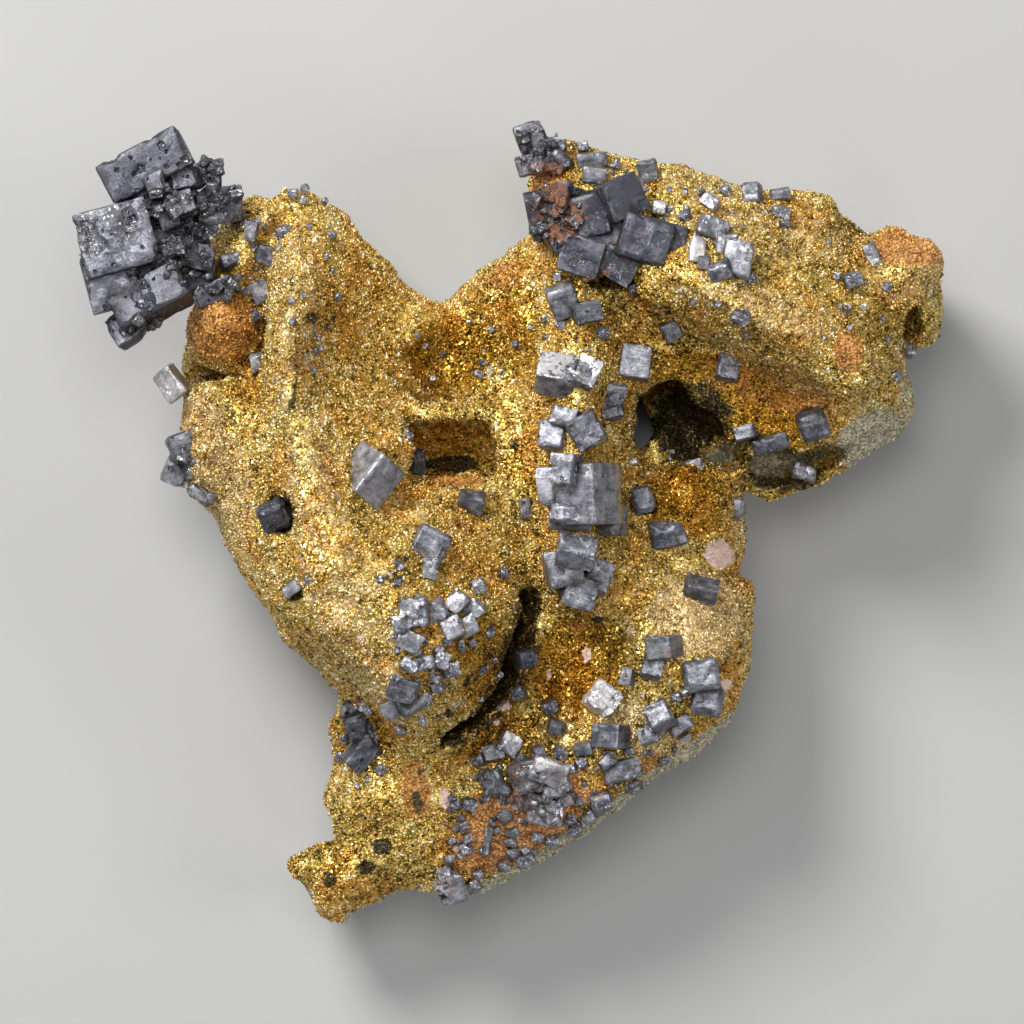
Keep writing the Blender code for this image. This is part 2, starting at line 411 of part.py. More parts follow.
CRYSTALS = {
    "skeletal_slabs": (
        Block(147, 167, 4.5, 2.15, 1.6, turn=28, tilt=-3, roll=-5, level=14.3, edge=0.1),
        Block(118, 240, 3.75, 3.3, 1.5, turn=15, tilt=3, roll=-4, level=14.7, edge=0.1),
        Block(113, 278, 2.7, 3.2, 1.4, turn=15, tilt=3, roll=-3, level=14.4, edge=0),
        Block(152, 300, 3.9, 2.0, 2.2, turn=27, roll=-18, level=14.2, edge=0.1),
        Block(130, 327, 2.0, 1.6, 1.6, turn=34, roll=-14, level=13.7, edge=0),
        Block(164, 190, 3.0, 2.0, 1.5, turn=24, level=13.2, edge=0),
        Block(160, 187, 1.15, 1.15, 1.3, turn=24, level=15.0, edge=0),
        Block(181, 165, 1.1, 1.3, 1.3, turn=30, tilt=8, level=14.1, edge=0),
        Block(188, 181, 1.3, 1.0, 1.3, turn=14, level=14.2, edge=0),
        Block(185, 205, 1.15, 1.15, 1.5, turn=20, roll=-8, level=14.4, edge=0),
        Block(168, 217, 1.0, 1.25, 1.5, turn=24, level=14.4, edge=0),
        Block(169, 253, 1.9, 0.8, 1.2, turn=40, level=13.8, edge=0),
        Block(166, 240, 4.2, 5.0, 1.2, turn=14, level=12.4, edge=0),
        Block(221, 206, 2.3, 1.6, 1.8, turn=6, roll=12, level=13.2, edge=0),
        Block(209, 171, 1.2, 1.4, 1.3, turn=-20, level=13.2, edge=0),
        Block(204, 228, 1.5, 0.8, 1.4, turn=10, level=13.0, edge=0),
        Block(200, 256, 1.7, 1.3, 1.5, turn=-14, level=13.1, edge=0),
        Block(216, 291, 2.2, 1.0, 1.4, turn=27, level=12.7, edge=0),
    ),
    "neck_upper": (Block(252, 231, 0.8, 1.2, 1.0, turn=-14, edge=0),),
    "neck_bridge": (Block(270, 256, 1.45, 0.95, 1.0, turn=-18, edge=0),),
    "neck_lower": (Block(261, 290, 1.0, 1.15, 1.0, turn=25, edge=0),),
    "west_edge_cube": (Block(170, 383, 1.7, 1.2, 1.4, turn=-52, roll=12, level=10.4),),
    "west_group": (
        Block(186, 446, 1.9, 1.5, 1.8, turn=20, tilt=6, level=11.2),
        Block(177, 471, 1.4, 1.4, 1.5, turn=-24, level=10.8, edge=0),
        Block(202, 493, 1.5, 1.1, 1.4, turn=-40, level=11.2, edge=0),
        Block(196, 468, 1.3, 1.3, 1.3, turn=10, level=11.5, edge=0),
    ),
    "pit_crystal": (Block(276, 515, 1.5, 1.45, 1.5, turn=22, roll=20, level=17.7, edge=0.28),),
    "spine_cube": (Block(371, 476, 2.4, 2.0, 2.0, turn=52, tilt=5, roll=42, rise=0.35, edge=0.04),),
    "recess_crystal": (Block(416, 461, 0.8, 1.5, 1.3, turn=4, level=9.4, edge=0),),
    "centre_twin": (
        Block(431, 544, 1.75, 1.65, 1.3, turn=-27, tilt=8, rise=0.25),
        Block(431, 569, 0.85, 1.2, 1.3, turn=-6, rise=0.1, edge=0),
    ),
    "centre_small": (Block(479, 585, 0.8, 0.8, 0.9, turn=22, rise=0.2, edge=0),),
    "centre_dark": (Block(471, 501, 1.35, 1.05, 1.1, turn=-12, roll=25, rise=0.2),),
    "belly_north": (
        Block(415, 611, 1.5, 1.5, 1.3, turn=2, tilt=-5, rise=0.3, edge=0.1),
        Block(404, 623, 0.9, 0.9, 1.2, turn=14, rise=0.2, edge=0),
        Block(411, 638, 1.3, 1.0, 1.2, turn=-24, rise=0.15, edge=0),
        Block(438, 609, 1.0, 1.0, 1.1, turn=30, rise=0.15, edge=0),
        Block(457, 602, 1.2, 0.95, 1.1, turn=50, rise=0.15, edge=0),
        Block(453, 627, 1.1, 1.1, 1.1, turn=24, rise=0.15, edge=0),
        Block(467, 625, 1.1, 1.0, 1.1, turn=30, rise=0.15, edge=0),
        Block(474, 610, 1.1, 0.9, 1.1, turn=40, rise=0.15, edge=0),
    ),
    "belly_middle": (
        Block(427, 661, 0.95, 0.75, 0.9, turn=15, rise=0.2, edge=0),
        Block(410, 663, 0.95, 0.8, 0.9, turn=-25, rise=0.15, edge=0),
        Block(442, 658, 0.85, 0.9, 0.9, turn=-18, rise=0.2, edge=0),
        Block(452, 669, 0.95, 0.8, 0.9, turn=10, rise=0.15, edge=0),
    ),
    "belly_low": (
        Block(396, 706, 1.15, 1.0, 1.3, turn=35, tilt=-20, rise=0.4, edge=0),
        Block(411, 703, 1.2, 1.0, 1.5, turn=32, rise=0.3, edge=0),
        Block(405, 686, 1.5, 1.2, 1.6, turn=-20, rise=0.0, edge=0),
    ),
    "south_west_group": (
        Block(359, 727, 1.6, 1.4, 1.5, turn=20, rise=0.3, edge=0),
        Block(350, 711, 0.95, 0.9, 1.2, turn=-15, rise=0.25, edge=0),
        Block(361, 753, 1.9, 1.15, 1.3, turn=48, roll=20, rise=0.25),
    ),
    "gap_crystal": (Block(525, 658, 1.1, 1.0, 1.1, turn=15, rise=0.1, edge=0.2),),
    "north_tip": (
        Block(531, 138, 1.5, 1.5, 1.5, turn=20, level=12.3, edge=0.1),
        Block(550, 149, 1.5, 1.2, 1.4, turn=-20, level=12.5, edge=0),
        Block(536, 164, 2.0, 1.15, 1.5, turn=16, level=12.7, edge=0),
        Block(557, 162, 1.2, 1.2, 1.3, turn=40, level=12.8, edge=0),
    ),
    "north_group": (
        Block(548, 214, 2.1, 2.2, 2.4, turn=12, roll=10, level=14.1, edge=0),
        Block(570, 205, 2.2, 1.7, 2.2, turn=-15, tilt=8, level=14.7, edge=0),
        Block(564, 234, 2.0, 1.6, 2.0, turn=30, level=14.6, edge=0),
        Block(594, 217, 1.8, 2.2, 2.2, turn=14, tilt=-12, level=15.4, edge=0.1),
        Block(618, 201, 2.1, 2.0, 2.3, turn=26, tilt=18, roll=4, level=15.9, edge=0.08),
        Block(582, 259, 2.1, 1.9, 2.0, turn=-18, tilt=-6, level=15.8, edge=0.05),
        Block(618, 265, 2.0, 1.6, 2.0, turn=-30, roll=8, level=15.7, edge=0),
        Block(608, 238, 2.3, 1.6, 2.0, turn=-10, level=15.3, edge=0),
        Block(643, 244, 2.6, 2.3, 2.3, turn=-18, roll=-10, level=16.1, edge=0.12),
        Block(666, 246, 1.8, 2.1, 2.0, turn=-10, roll=-8, tilt=8, level=15.8, edge=0.1),
    ),
    "north_small_pair": (
        Block(592, 161, 1.5, 0.8, 1.1, turn=4, rise=0.3, edge=0),
        Block(594, 175, 1.2, 0.8, 1.1, turn=-8, rise=0.3, edge=0),
    ),
    "north_dark_cube": (Block(648, 171, 1.0, 1.1, 1.2, turn=10, rise=0.3),),
    "north_white_cube": (Block(658, 209, 0.7, 0.7, 0.9, turn=-12, rise=0.6, edge=0),),
    "north_box": (Block(695, 252, 0.8, 1.35, 1.1, turn=-6, rise=0.25, edge=0),),
    "east_group": (
        Block(711, 230, 1.55, 1.1, 1.3, turn=-22, rise=0.25, edge=0.15),
        Block(735, 263, 1.45, 1.85, 1.4, turn=-10, roll=-12, rise=0.35, edge=0.1),
        Block(718, 273, 1.2, 1.0, 1.1, turn=20, rise=0.15, edge=0),
        Block(722, 247, 1.1, 1.2, 1.0, turn=-10, rise=0.1, edge=0),
    ),
    "lobe_edge_cube": (Block(752, 194, 0.9, 1.1, 1.1, turn=5, rise=0.35),),
    "lobe_flat_cube": (Block(779, 213, 0.95, 0.6, 0.8, turn=-12, rise=0.3, edge=0),),
    "lobe_slim": (Block(873, 255, 1.25, 0.65, 0.8, turn=-64, rise=0.2, edge=0),),
    "column_head_pair": (
        Block(563, 301, 1.5, 1.6, 1.6, turn=22, roll=15, rise=0.4),
        Block(586, 314, 1.4, 1.1, 1.3, turn=14, tilt=10, rise=0.35, edge=0),
    ),
    "under_ridge_crystal": (Block(671, 331, 1.0, 1.0, 1.1, turn=30, rise=0.2, edge=0.2),),
    "ridge_foot_crystal": (Block(727, 367, 1.2, 1.45, 1.2, turn=-12, rise=0.2),),
    "cavity_crystal": (Block(813, 424, 1.45, 1.5, 1.5, turn=18, roll=14, level=11.6, edge=0.2),),
    "cavity_bar": (Block(771, 444, 1.85, 0.85, 1.1, turn=17, level=10.6, edge=0.15),),
    "column_top": (
        Block(556, 376, 2.0, 1.75, 1.6, turn=-10, roll=-40, rise=0.7, edge=0.06),
        Block(585, 376, 1.2, 1.5, 1.6, turn=-24, roll=-18, rise=0.5, edge=0),
    ),
    "column_middle": (
        Block(565, 418, 1.3, 1.0, 1.4, turn=-16, rise=0.4, edge=0),
        Block(553, 436, 1.4, 1.45, 1.6, turn=-6, rise=0.5, edge=0.14),
        Block(585, 431, 1.65, 1.7, 1.9, turn=30, roll=6, rise=0.6, edge=0.1),
    ),
    "column_block": (
        Block(588, 494, 2.35, 3.1, 2.9, turn=2, tilt=-33, rise=0.1, edge=0.07),
        Block(565, 470, 1.2, 1.6, 2.0, turn=-4, tilt=-14, rise=1.0, edge=0),
        Block(549, 487, 0.95, 2.0, 1.9, turn=4, tilt=-10, rise=0.7, edge=0),
        Block(570, 518, 2.2, 0.95, 2.0, turn=-6, roll=-16, rise=0.5, edge=0),
        Block(613, 520, 1.0, 1.6, 1.8, turn=-6, tilt=-20, level=15.4, edge=0),
    ),
    "column_foot": (
        Block(576, 551, 2.0, 1.35, 1.4, turn=-10, roll=-38, rise=0.7, edge=0.06),
        Block(562, 568, 1.75, 1.9, 2.8, turn=14, tilt=4, rise=0.55, edge=0),
        Block(578, 585, 1.7, 1.7, 3.2, turn=-18, rise=0.3, edge=0.12),
        Block(598, 577, 1.35, 1.6, 2.2, turn=-22, roll=-10, rise=0.5, edge=0),
    ),
    "right_cube": (Block(635, 363, 1.55, 1.65, 1.6, turn=-8, level=13.2, edge=0.06),),
    "right_pair": (
        Block(614, 394, 1.15, 1.1, 1.5, turn=-14, rise=0.35, edge=0),
        Block(611, 410, 1.15, 1.2, 1.5, turn=12, rise=0.3, edge=0),
    ),
    "mound_west": (Block(643, 500, 1.15, 1.45, 1.3, turn=14, rise=0.2, edge=0.22),),
    "mound_middle": (Block(669, 532, 2.0, 1.45, 1.5, turn=10, roll=12, rise=0.1, edge=0.2),),
    "mound_east": (Block(731, 507, 1.45, 1.05, 1.3, turn=-6, rise=0.25, edge=0.2),),
    "ledge_bar": (Block(701, 589, 1.8, 1.0, 1.1, turn=-13, roll=-45, rise=0.35, edge=0.04),),
    "ledge_pair": (
        Block(663, 647, 1.5, 1.2, 1.5, turn=4, tilt=-28, rise=0.5, edge=0.1),
        Block(652, 667, 1.15, 1.15, 1.3, turn=-14, rise=0.35, edge=0),
    ),
    "ledge_slim": (Block(628, 676, 0.7, 0.95, 1.1, turn=-8, tilt=-16, rise=0.4, edge=0),),
    "ledge_white_cube": (Block(603, 699, 1.65, 1.55, 1.5, turn=-38, rise=0.5, edge=0.1),),
    "ledge_striated": (Block(611, 736, 1.55, 1.25, 1.6, turn=-4, tilt=-25, rise=0.35, edge=0.06),),
    "ledge_rounded": (
        Block(701, 675, 1.85, 1.6, 1.4, turn=8, rise=0.3, edge=0.26),
        Block(707, 700, 1.6, 1.5, 1.4, turn=-8, rise=0.35, edge=0.26),
    ),
    "ledge_twin": (
        Block(660, 717, 1.3, 1.3, 1.3, turn=28, roll=-25, rise=0.35, edge=0.12),
        Block(651, 733, 1.0, 0.9, 1.1, turn=-8, rise=0.3, edge=0),
        Block(680, 726, 1.2, 0.75, 1.0, turn=30, rise=0.25, edge=0),
    ),
    "ledge_low_bar": (
        Block(622, 771, 1.95, 1.1, 1.4, turn=12, tilt=6, rise=0.4, edge=0.12),
        Block(607, 763, 0.95, 0.7, 1.1, turn=40, rise=0.3, edge=0),
    ),
    "ledge_round_low": (Block(602, 804, 1.25, 1.25, 1.3, turn=22, rise=0.25, edge=0.22),),
    "ledge_mass": (
        Block(527, 776, 1.9, 1.6, 1.5, turn=16, roll=10, rise=0.35, edge=0.15),
        Block(547, 771, 2.0, 1.4, 1.6, turn=-20, tilt=8, rise=0.45, edge=0),
        Block(555, 786, 1.6, 1.4, 1.4, turn=24, rise=0.35, edge=0),
        Block(546, 812, 1.9, 1.45, 1.4, turn=-12, tilt=6, rise=0.3, edge=0),
        Block(526, 799, 1.2, 1.0, 1.2, turn=30, rise=0.2, edge=0),
    ),
    "ledge_bright": (Block(492, 781, 1.3, 1.4, 1.3, turn=18, rise=0.3, edge=0.18),),
    "ledge_north_bright": (
        Block(509, 744, 1.1, 1.1, 1.1, turn=-30, rise=0.3, edge=0),
        Block(492, 752, 1.1, 0.9, 1.0, turn=16, rise=0.2, edge=0),
    ),
    "ledge_needle": (Block(488, 841, 1.5, 0.55, 0.8, turn=80, rise=0.25, edge=0),),
    "foot_crystal": (Block(450, 891, 1.6, 1.5, 1.5, turn=24, roll=14, level=9.0, edge=0.2),),
}

# Colour, metallic share and roughness of each finish
DRUSE_FINISH = ("druse", (0.48, 0.31, 0.06, 1.0), 0.75, 0.38)
ACANTHITE_FINISH = ("acanthite", (0.16, 0.16, 0.19, 1.0), 0.8, 0.42)
SILVERY_FINISH = ("silvery_acanthite", (0.62, 0.61, 0.63, 1.0), 0.9, 0.33)
SILVERY_CRYSTALS = ("west_edge_cube", "north_white_cube", "north_box", "ledge_white_cube")


def clear_scene():
    """Remove every object that the scene starts with."""
    for item in list(bpy.data.objects):
        bpy.data.objects.remove(item, do_unlink=True)


def finish_material(finish):
    """Return a material for a finish, made once and then shared."""
    name, colour, metallic, roughness = finish
    if name in bpy.data.materials:
        return bpy.data.materials[name]
    material = bpy.data.materials.new(name)
    material.use_nodes = True
    shader = material.node_tree.nodes["Principled BSDF"]
    shader.inputs["Base Color"].default_value = colour
    shader.inputs["Metallic"].default_value = metallic
    shader.inputs["Roughness"].default_value = roughness
    return material


def add_object(name, mesh, finish=None):
    """Link a mesh to the scene as a named object, with its material."""
    item = bpy.data.objects.new(name, mesh)
    bpy.context.scene.collection.objects.link(item)
    if finish:
        mesh.materials.clear()
        mesh.materials.append(finish_material(finish))
    return item


def settle(item):
    """Replace an object's mesh with the one its modifiers make."""
    bpy.context.view_layer.update()
    graph = bpy.context.evaluated_depsgraph_get()
    mesh = bpy.data.meshes.new_from_object(item.evaluated_get(graph))
    item.modifiers.clear()
    item.data = mesh
    return item


def combine(item, other, operation):
    """Join or cut an object with another closed mesh, and remove the other."""
    step = item.modifiers.new(operation.lower(), "BOOLEAN")
    step.operation = operation
    step.solver = "EXACT"
    step.use_self = True
    step.object = other
    settle(item)
    bpy.data.objects.remove(other, do_unlink=True)
    return item


def add_block(bm, block, relief, growth):
    """Add one crystal to a bmesh, each side moved out by a growth in millimetres."""
    size = [side + 2.0 * growth for side in (block.length, block.width, block.height)]
    x, y = at(block.x, block.y)
    level = block.level or float(relief.height(x, y)) + block.rise
    turn = Euler([math.radians(angle) for angle in (block.roll, block.tilt, block.turn)], "XYZ").to_matrix()
    place = Matrix.Translation(Vector((x, y, level)) * MM) @ turn.to_4x4()
    part = bmesh.new()
    bmesh.ops.create_cube(part, size=1.0, matrix=Matrix.Diagonal([side * MM for side in size] + [1.0]))
    if block.edge:
        width = block.edge * min(block.length, block.width, block.height) * MM
        bmesh.ops.bevel(part, geom=part.edges[:], offset=width, segments=1, affect="EDGES", profile=0.5)
    bmesh.ops.transform(part, matrix=place, verts=part.verts[:])
    mesh = bpy.data.meshes.new("block")
    part.to_mesh(mesh)
    part.free()
    bm.from_mesh(mesh)
    bpy.data.meshes.remove(mesh)


def block_mesh(name, blocks, relief, growth=0.0):
    """Return one mesh that holds several crystals."""
    bm = bmesh.new()
    for block in blocks:
        add_block(bm, block, relief, growth)
    mesh = bpy.data.meshes.new(name)
    bm.to_mesh(mesh)
    bm.free()
    return mesh


def make_crystals(name, blocks, relief):
    """Make a crystal, or a group that grew together as one solid."""
    finish = SILVERY_FINISH if name in SILVERY_CRYSTALS else ACANTHITE_FINISH
    item = add_object(name, block_mesh(name, blocks[:1], relief), finish)
    if len(blocks) > 1:
        others = add_object(name + "_rest", block_mesh(name + "_rest", blocks[1:], relief), finish)
        combine(item, others, "UNION")
    return item


def matrix_mesh(relief):
    """Return the mesh of the matrix before the crystals' sockets are cut."""
    axes = [np.arange(low, high, CELL) for low, high in zip(FIELD_LOW, FIELD_HIGH)]
    x, y, z = np.meshgrid(*axes, indexing="ij")
    height = relief.height(x[:, :, 0], y[:, :, 0])[:, :, None]
    edge = polygon_distance(x[:, :, 0], y[:, :, 0], OUTLINE)[:, :, None]
    values = settle_faces(matrix_field(x, y, z, height, edge))
    vertices, faces = surface_net(values, FIELD_LOW, CELL)
    mesh = bpy.data.meshes.new("matrix")
    mesh.from_pydata((vertices * MM).tolist(), [], faces.tolist())
    mesh.update()
    return mesh


def make_matrix(relief):
    """Make the matrix: its surface, its trimmed back and a socket for each crystal."""
    item = add_object("matrix", matrix_mesh(relief), DRUSE_FINISH)
    thin = item.modifiers.new("thin", "DECIMATE")
    thin.ratio = MATRIX_TRIANGLES / (2.0 * len(item.data.polygons))
    settle(item)
    below = bmesh.new()
    sides = Vector((BACK_CUT_WIDTH, BACK_CUT_WIDTH, BACK_CUT_DEPTH)) * MM
    place = Matrix.Translation((0.0, 0.0, (BACK_LEVEL - BACK_CUT_DEPTH / 2.0) * MM))
    bmesh.ops.create_cube(below, size=1.0, matrix=place @ Matrix.Diagonal((*sides, 1.0)))
    mesh = bpy.data.meshes.new("below_back")
    below.to_mesh(mesh)
    below.free()
    combine(item, add_object("below_back", mesh), "DIFFERENCE")
    blocks = [block for group in CRYSTALS.values() for block in group]
    blocks = [replace(block, edge=0.0) for block in blocks]
    sockets = add_object("sockets", block_mesh("sockets", blocks, relief, SOCKET_GAP))
    return combine(item, sockets, "DIFFERENCE")


def main():
    """Model the matrix and every crystal that stands on it."""
    clear_scene()
    relief = Relief()
    make_matrix(relief)
    for name, blocks in CRYSTALS.items():
        make_crystals(name, blocks, relief)


main()
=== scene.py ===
import json
import logging
import math
from dataclasses import dataclass, field
from enum import Enum
from typing import Any, Iterable, Sequence

import bpy
import numpy as np
from mathutils import Euler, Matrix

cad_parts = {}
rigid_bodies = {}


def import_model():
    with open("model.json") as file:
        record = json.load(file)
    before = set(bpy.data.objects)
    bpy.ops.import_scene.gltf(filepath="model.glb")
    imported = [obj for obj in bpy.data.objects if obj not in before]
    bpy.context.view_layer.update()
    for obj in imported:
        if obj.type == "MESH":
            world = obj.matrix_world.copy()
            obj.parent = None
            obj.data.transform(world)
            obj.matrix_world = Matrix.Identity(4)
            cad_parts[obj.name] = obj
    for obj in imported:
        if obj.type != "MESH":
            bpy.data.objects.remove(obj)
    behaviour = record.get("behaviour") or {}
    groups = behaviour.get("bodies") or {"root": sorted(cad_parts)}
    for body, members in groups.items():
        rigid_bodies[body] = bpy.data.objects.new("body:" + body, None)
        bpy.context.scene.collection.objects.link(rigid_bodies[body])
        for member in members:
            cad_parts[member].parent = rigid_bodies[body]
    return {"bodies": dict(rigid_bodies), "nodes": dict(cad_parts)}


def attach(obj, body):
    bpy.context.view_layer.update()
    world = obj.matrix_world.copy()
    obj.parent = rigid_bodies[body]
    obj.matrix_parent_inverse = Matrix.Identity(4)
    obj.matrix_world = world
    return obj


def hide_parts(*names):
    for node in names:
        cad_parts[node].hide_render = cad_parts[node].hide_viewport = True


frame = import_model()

# Acanthite crystals on a gold druse over boxwork rock, lying face up on a trimmed back.
# Lengths are in millimetres until a mesh is made. Plan places are drawn on a grid of twentieths of a
# millimetre, X to the right and Y down.

Array = np.ndarray
Place = tuple[float, ...]
Colour = tuple[float, float, float, float]

MM = 0.001
PLAN_UNIT = 0.05
PLAN_MIDDLE = (511.2, 523.7)
LINE_STEP = 1.3
RIDGE_SHARPNESS = 0.45
WAIST_LEVEL = 5.5
FIELD_LOW = (-22.6, -20.9, -0.6)
FIELD_HIGH = (22.6, 20.9, 22.2)
SLOPE_SHARE = 0.8
EDGE_ROUND = 0.85
LUMP_BLEND = 0.5
HOLLOW_BLEND = 0.35
LOWER_FLARE = 0.075
UPPER_FLARE = 0.006
WALL_ROUGHNESS = 0.42
WALL_WAVE = 5.2
WALL_ROUGH_TOP = 9.5
FACE_ROUGHNESS = 0.12
FACE_WAVE = 2.7
CHUNK = 6000

OUTLINE = (
    (281, 189, 12), (307, 188, 12.5), (332, 204, 12), (347, 214, 11.5), (355, 231, 11.5), (374, 250, 11),
    (393, 266, 10.5), (403, 285, 10), (439, 300, 9.5), (450, 298, 9.5), (479, 270, 10.5), (508, 250, 11),
    (538, 226, 12), (534, 200, 12), (530, 183, 12), (535, 160, 11.5), (548, 145, 11), (562, 138, 11),
    (590, 147, 11.5), (620, 155, 12), (650, 160, 12.4), (680, 162, 12.6), (700, 170, 12.4), (730, 183, 12.2),
    (760, 190, 12), (800, 190, 11.4), (835, 195, 10.6), (845, 215, 10), (860, 228, 10), (872, 236, 10),
    (893, 225, 9.5), (920, 234, 9.5), (936, 237, 9), (950, 265, 9), (943, 285, 9), (948, 315, 8.5),
    (941, 340, 8.5), (929, 351, 8.5), (912, 347, 9), (905, 368, 9), (917, 390, 8.5), (920, 407, 8),
    (908, 428, 8), (880, 450, 8), (842, 478, 7.5), (800, 492, 7), (771, 506, 7), (758, 498, 7),
    (745, 490, 8), (748, 510, 8.5), (745, 560, 9), (740, 572, 9.5), (755, 583, 9.5), (757, 620, 9.5),
    (752, 660, 9.5), (743, 703, 9), (731, 726, 9), (713, 742, 9), (666, 777, 9), (619, 811, 9),
    (590, 834, 8.5), (554, 860, 8), (520, 880, 8), (483, 897, 7.5), (443, 910, 7), (431, 900, 7),
    (398, 896, 7), (360, 914, 6.6), (340, 927, 6.6), (315, 921, 6.6), (300, 897, 7), (286, 866, 7.5),
    (313, 844, 8), (330, 842, 8), (322, 806, 8), (328, 760, 8), (326, 727, 8), (339, 698, 8.5),
    (319, 673, 9.5), (280, 643, 9), (266, 611, 9), (247, 587, 9), (225, 545, 9), (209, 514, 9),
    (195, 500, 9.5), (181, 470, 9.5), (181, 430, 10), (181, 400, 10.5), (181, 365, 10), (183, 325, 10),
    (196, 300, 10.5), (200, 272, 11), (209, 238, 11.2), (228, 206, 12), (252, 194, 12), (270, 200, 12),
)

# Crests, edges and feet of the relief, as plan places and levels
RELIEF_LINES = (
    ((299, 235, 14.5), (286, 254, 15.5), (278, 315, 17), (272, 348, 17.5), (274, 377, 18), (284, 441, 19),
     (294, 500, 20), (328, 567, 20.6), (350, 620, 20.2), (385, 690, 18), (408, 732, 14)),
    ((286, 222, 12.8), (273, 254, 12.8), (266, 315, 12.5), (261, 348, 12.1), (263, 374, 14),
     (273, 441, 17.2), (281, 490, 18)),
    ((322, 235, 14.5), (328, 300, 16.2), (318, 348, 17.2), (322, 400, 18.2), (338, 440, 18.8),
     (352, 520, 20.2)),
    ((359, 346, 13.4), (374, 361, 12.8), (401, 400, 12.4), (405, 425, 13.4)),
    ((412, 306, 10.6), (445, 320, 10.2), (448, 360, 9.6), (436, 396, 9.2)),
    ((500, 275, 11.8), (518, 330, 12.6), (506, 385, 12.4)),
    ((402, 414, 13.2), (450, 412, 12.4), (498, 416, 13.4)),
    ((410, 486, 14.2), (450, 485, 13.8), (492, 482, 13.8)),
    ((394, 440, 15.6), (398, 480, 15.6)),
    ((352, 560, 20.8), (396, 560, 20), (440, 580, 19), (480, 590, 17.2), (510, 600, 15.2)),
    ((400, 640, 20.3), (440, 650, 19.6), (478, 650, 18)),
    ((420, 700, 17.6), (455, 700, 16.6)),
    ((512, 604, 15.6), (506, 640, 16), (492, 680, 15.4), (473, 706, 14.6), (448, 728, 13.4),
     (425, 740, 12.8)),
    ((550, 606, 12), (544, 650, 10.8), (526, 694, 10.4), (502, 728, 10.2), (464, 756, 10.2)),
    ((430, 500, 15.8), (470, 505, 14.4), (510, 520, 13.8), (522, 560, 13.2), (524, 594, 12.6)),
    ((372, 440, 16.4), (386, 505, 17.4), (440, 540, 17.4), (490, 572, 15.2)),
    ((560, 255, 14.5), (565, 300, 15), (578, 340, 16), (570, 380, 17), (566, 430, 17.4), (575, 490, 17.8),
     (578, 545, 16.8), (590, 592, 14.2)),
    ((535, 300, 13), (534, 350, 13.5), (526, 400, 13.6), (520, 450, 13.6), (528, 500, 13.5), (536, 560, 13),
     (546, 604, 12)),
    ((612, 340, 14.4), (618, 400, 14), (618, 450, 13.8), (618, 510, 13.6), (618, 560, 13)),
    ((634, 362, 12.6), (631, 400, 12.2), (630, 450, 12.2), (632, 480, 12)),
    ((650, 272, 16.6), (690, 297, 17.4), (740, 324, 17.5), (800, 350, 17), (846, 366, 16)),
    ((640, 300, 14.2), (680, 330, 13.4), (730, 354, 12.8), (790, 382, 12.6), (850, 396, 12.4)),
    ((580, 180, 13.6), (600, 220, 14.6), (640, 240, 15.2), (660, 190, 14.2), (700, 200, 14.8)),
    ((700, 240, 16.2), (760, 230, 15), (760, 285, 16.4), (820, 230, 13.6), (820, 290, 14.8)),
    ((870, 265, 12.6), (880, 300, 12.6), (842, 325, 14.4), (880, 340, 12), (890, 390, 10.6)),
    ((660, 352, 12.4), (700, 372, 11.8), (760, 404, 11.4), (805, 412, 11.4), (850, 425, 10.4)),
    ((720, 470, 10.4), (760, 470, 9.4), (810, 470, 9.2), (850, 450, 9.4)),
    ((650, 482, 11.4), (690, 470, 10.8), (690, 512, 12.4), (722, 530, 12.2), (660, 546, 12.2)),
    ((600, 622, 12.4), (650, 622, 12.8), (700, 610, 12.6), (724, 652, 12.2), (694, 700, 12)),
    ((570, 640, 11.2), (600, 684, 11.6), (640, 720, 11.6), (582, 730, 11.2)),
    ((524, 770, 10.8), (600, 780, 10.9), (556, 822, 10.4)),
    ((500, 840, 9.8), (452, 830, 10), (450, 872, 8.8)),
    ((404, 770, 11.2), (362, 716, 10.6), (352, 760, 10), (382, 804, 10.8), (424, 812, 10.4)),
    ((352, 822, 9.6), (404, 850, 9.4), (352, 882, 8.8), (318, 880, 8.2)),
    ((205, 398, 12.6), (232, 400, 14.2), (220, 440, 13.4), (242, 482, 14.6), (250, 545, 15)),
    ((282, 560, 18.2), (300, 604, 18.4), (272, 604, 14), (312, 640, 16.6), (344, 674, 15)),
    ((270, 216, 13.4), (254, 240, 13), (242, 290, 12.6), (250, 330, 12), (240, 366, 11.2)),
    ((905, 256, 12.2), (926, 270, 11.6), (931, 320, 10.6)),
)

# Lumps and hollows of the rock: centre as plan place and level, then radii
LUMPS = (
    ((221, 326, 10.9), (2, 2.3, 2.6)), ((686, 506, 9.6), (2.5, 2.5, 3.9)),
    ((920, 262, 9.8), (1.45, 1.45, 2.6)), ((930, 324, 8.6), (0.95, 1.3, 2.2)),
    ((205, 455, 10), (1.6, 2.2, 3)),
)
HOLLOWS = (
    ((696, 436, 9), (1.75, 1.7, 5)), ((670, 404, 9), (1.4, 1.6, 4.6)), ((724, 458, 9), (1.5, 0.95, 4.4)),
    ((790, 466, 8.2), (2.3, 0.9, 3.6)), ((826, 452, 8.6), (1.1, 0.6, 2.6)), ((913, 322, 10), (0.55, 1, 2.4)),
    ((281, 514, 18.6), (1, 1, 3)), ((297, 592, 18.3), (0.5, 0.45, 1.2)),
    ((212, 377, 10.6), (1.9, 0.42, 1.9)), ((262, 345, 11.6), (0.5, 1.6, 1.6)),
    ((440, 401, 9.8), (1.7, 0.4, 1.3)), ((612, 284, 14.2), (2.6, 0.6, 1.6)), ((790, 330, -0.4), (5, 3.4, 2)),
    ((560, 700, -0.4), (4.6, 3.2, 1.8)),
)
HOLE = ((637, 388), (650, 398), (666, 424), (653, 446), (637, 461), (631, 440), (632, 402))
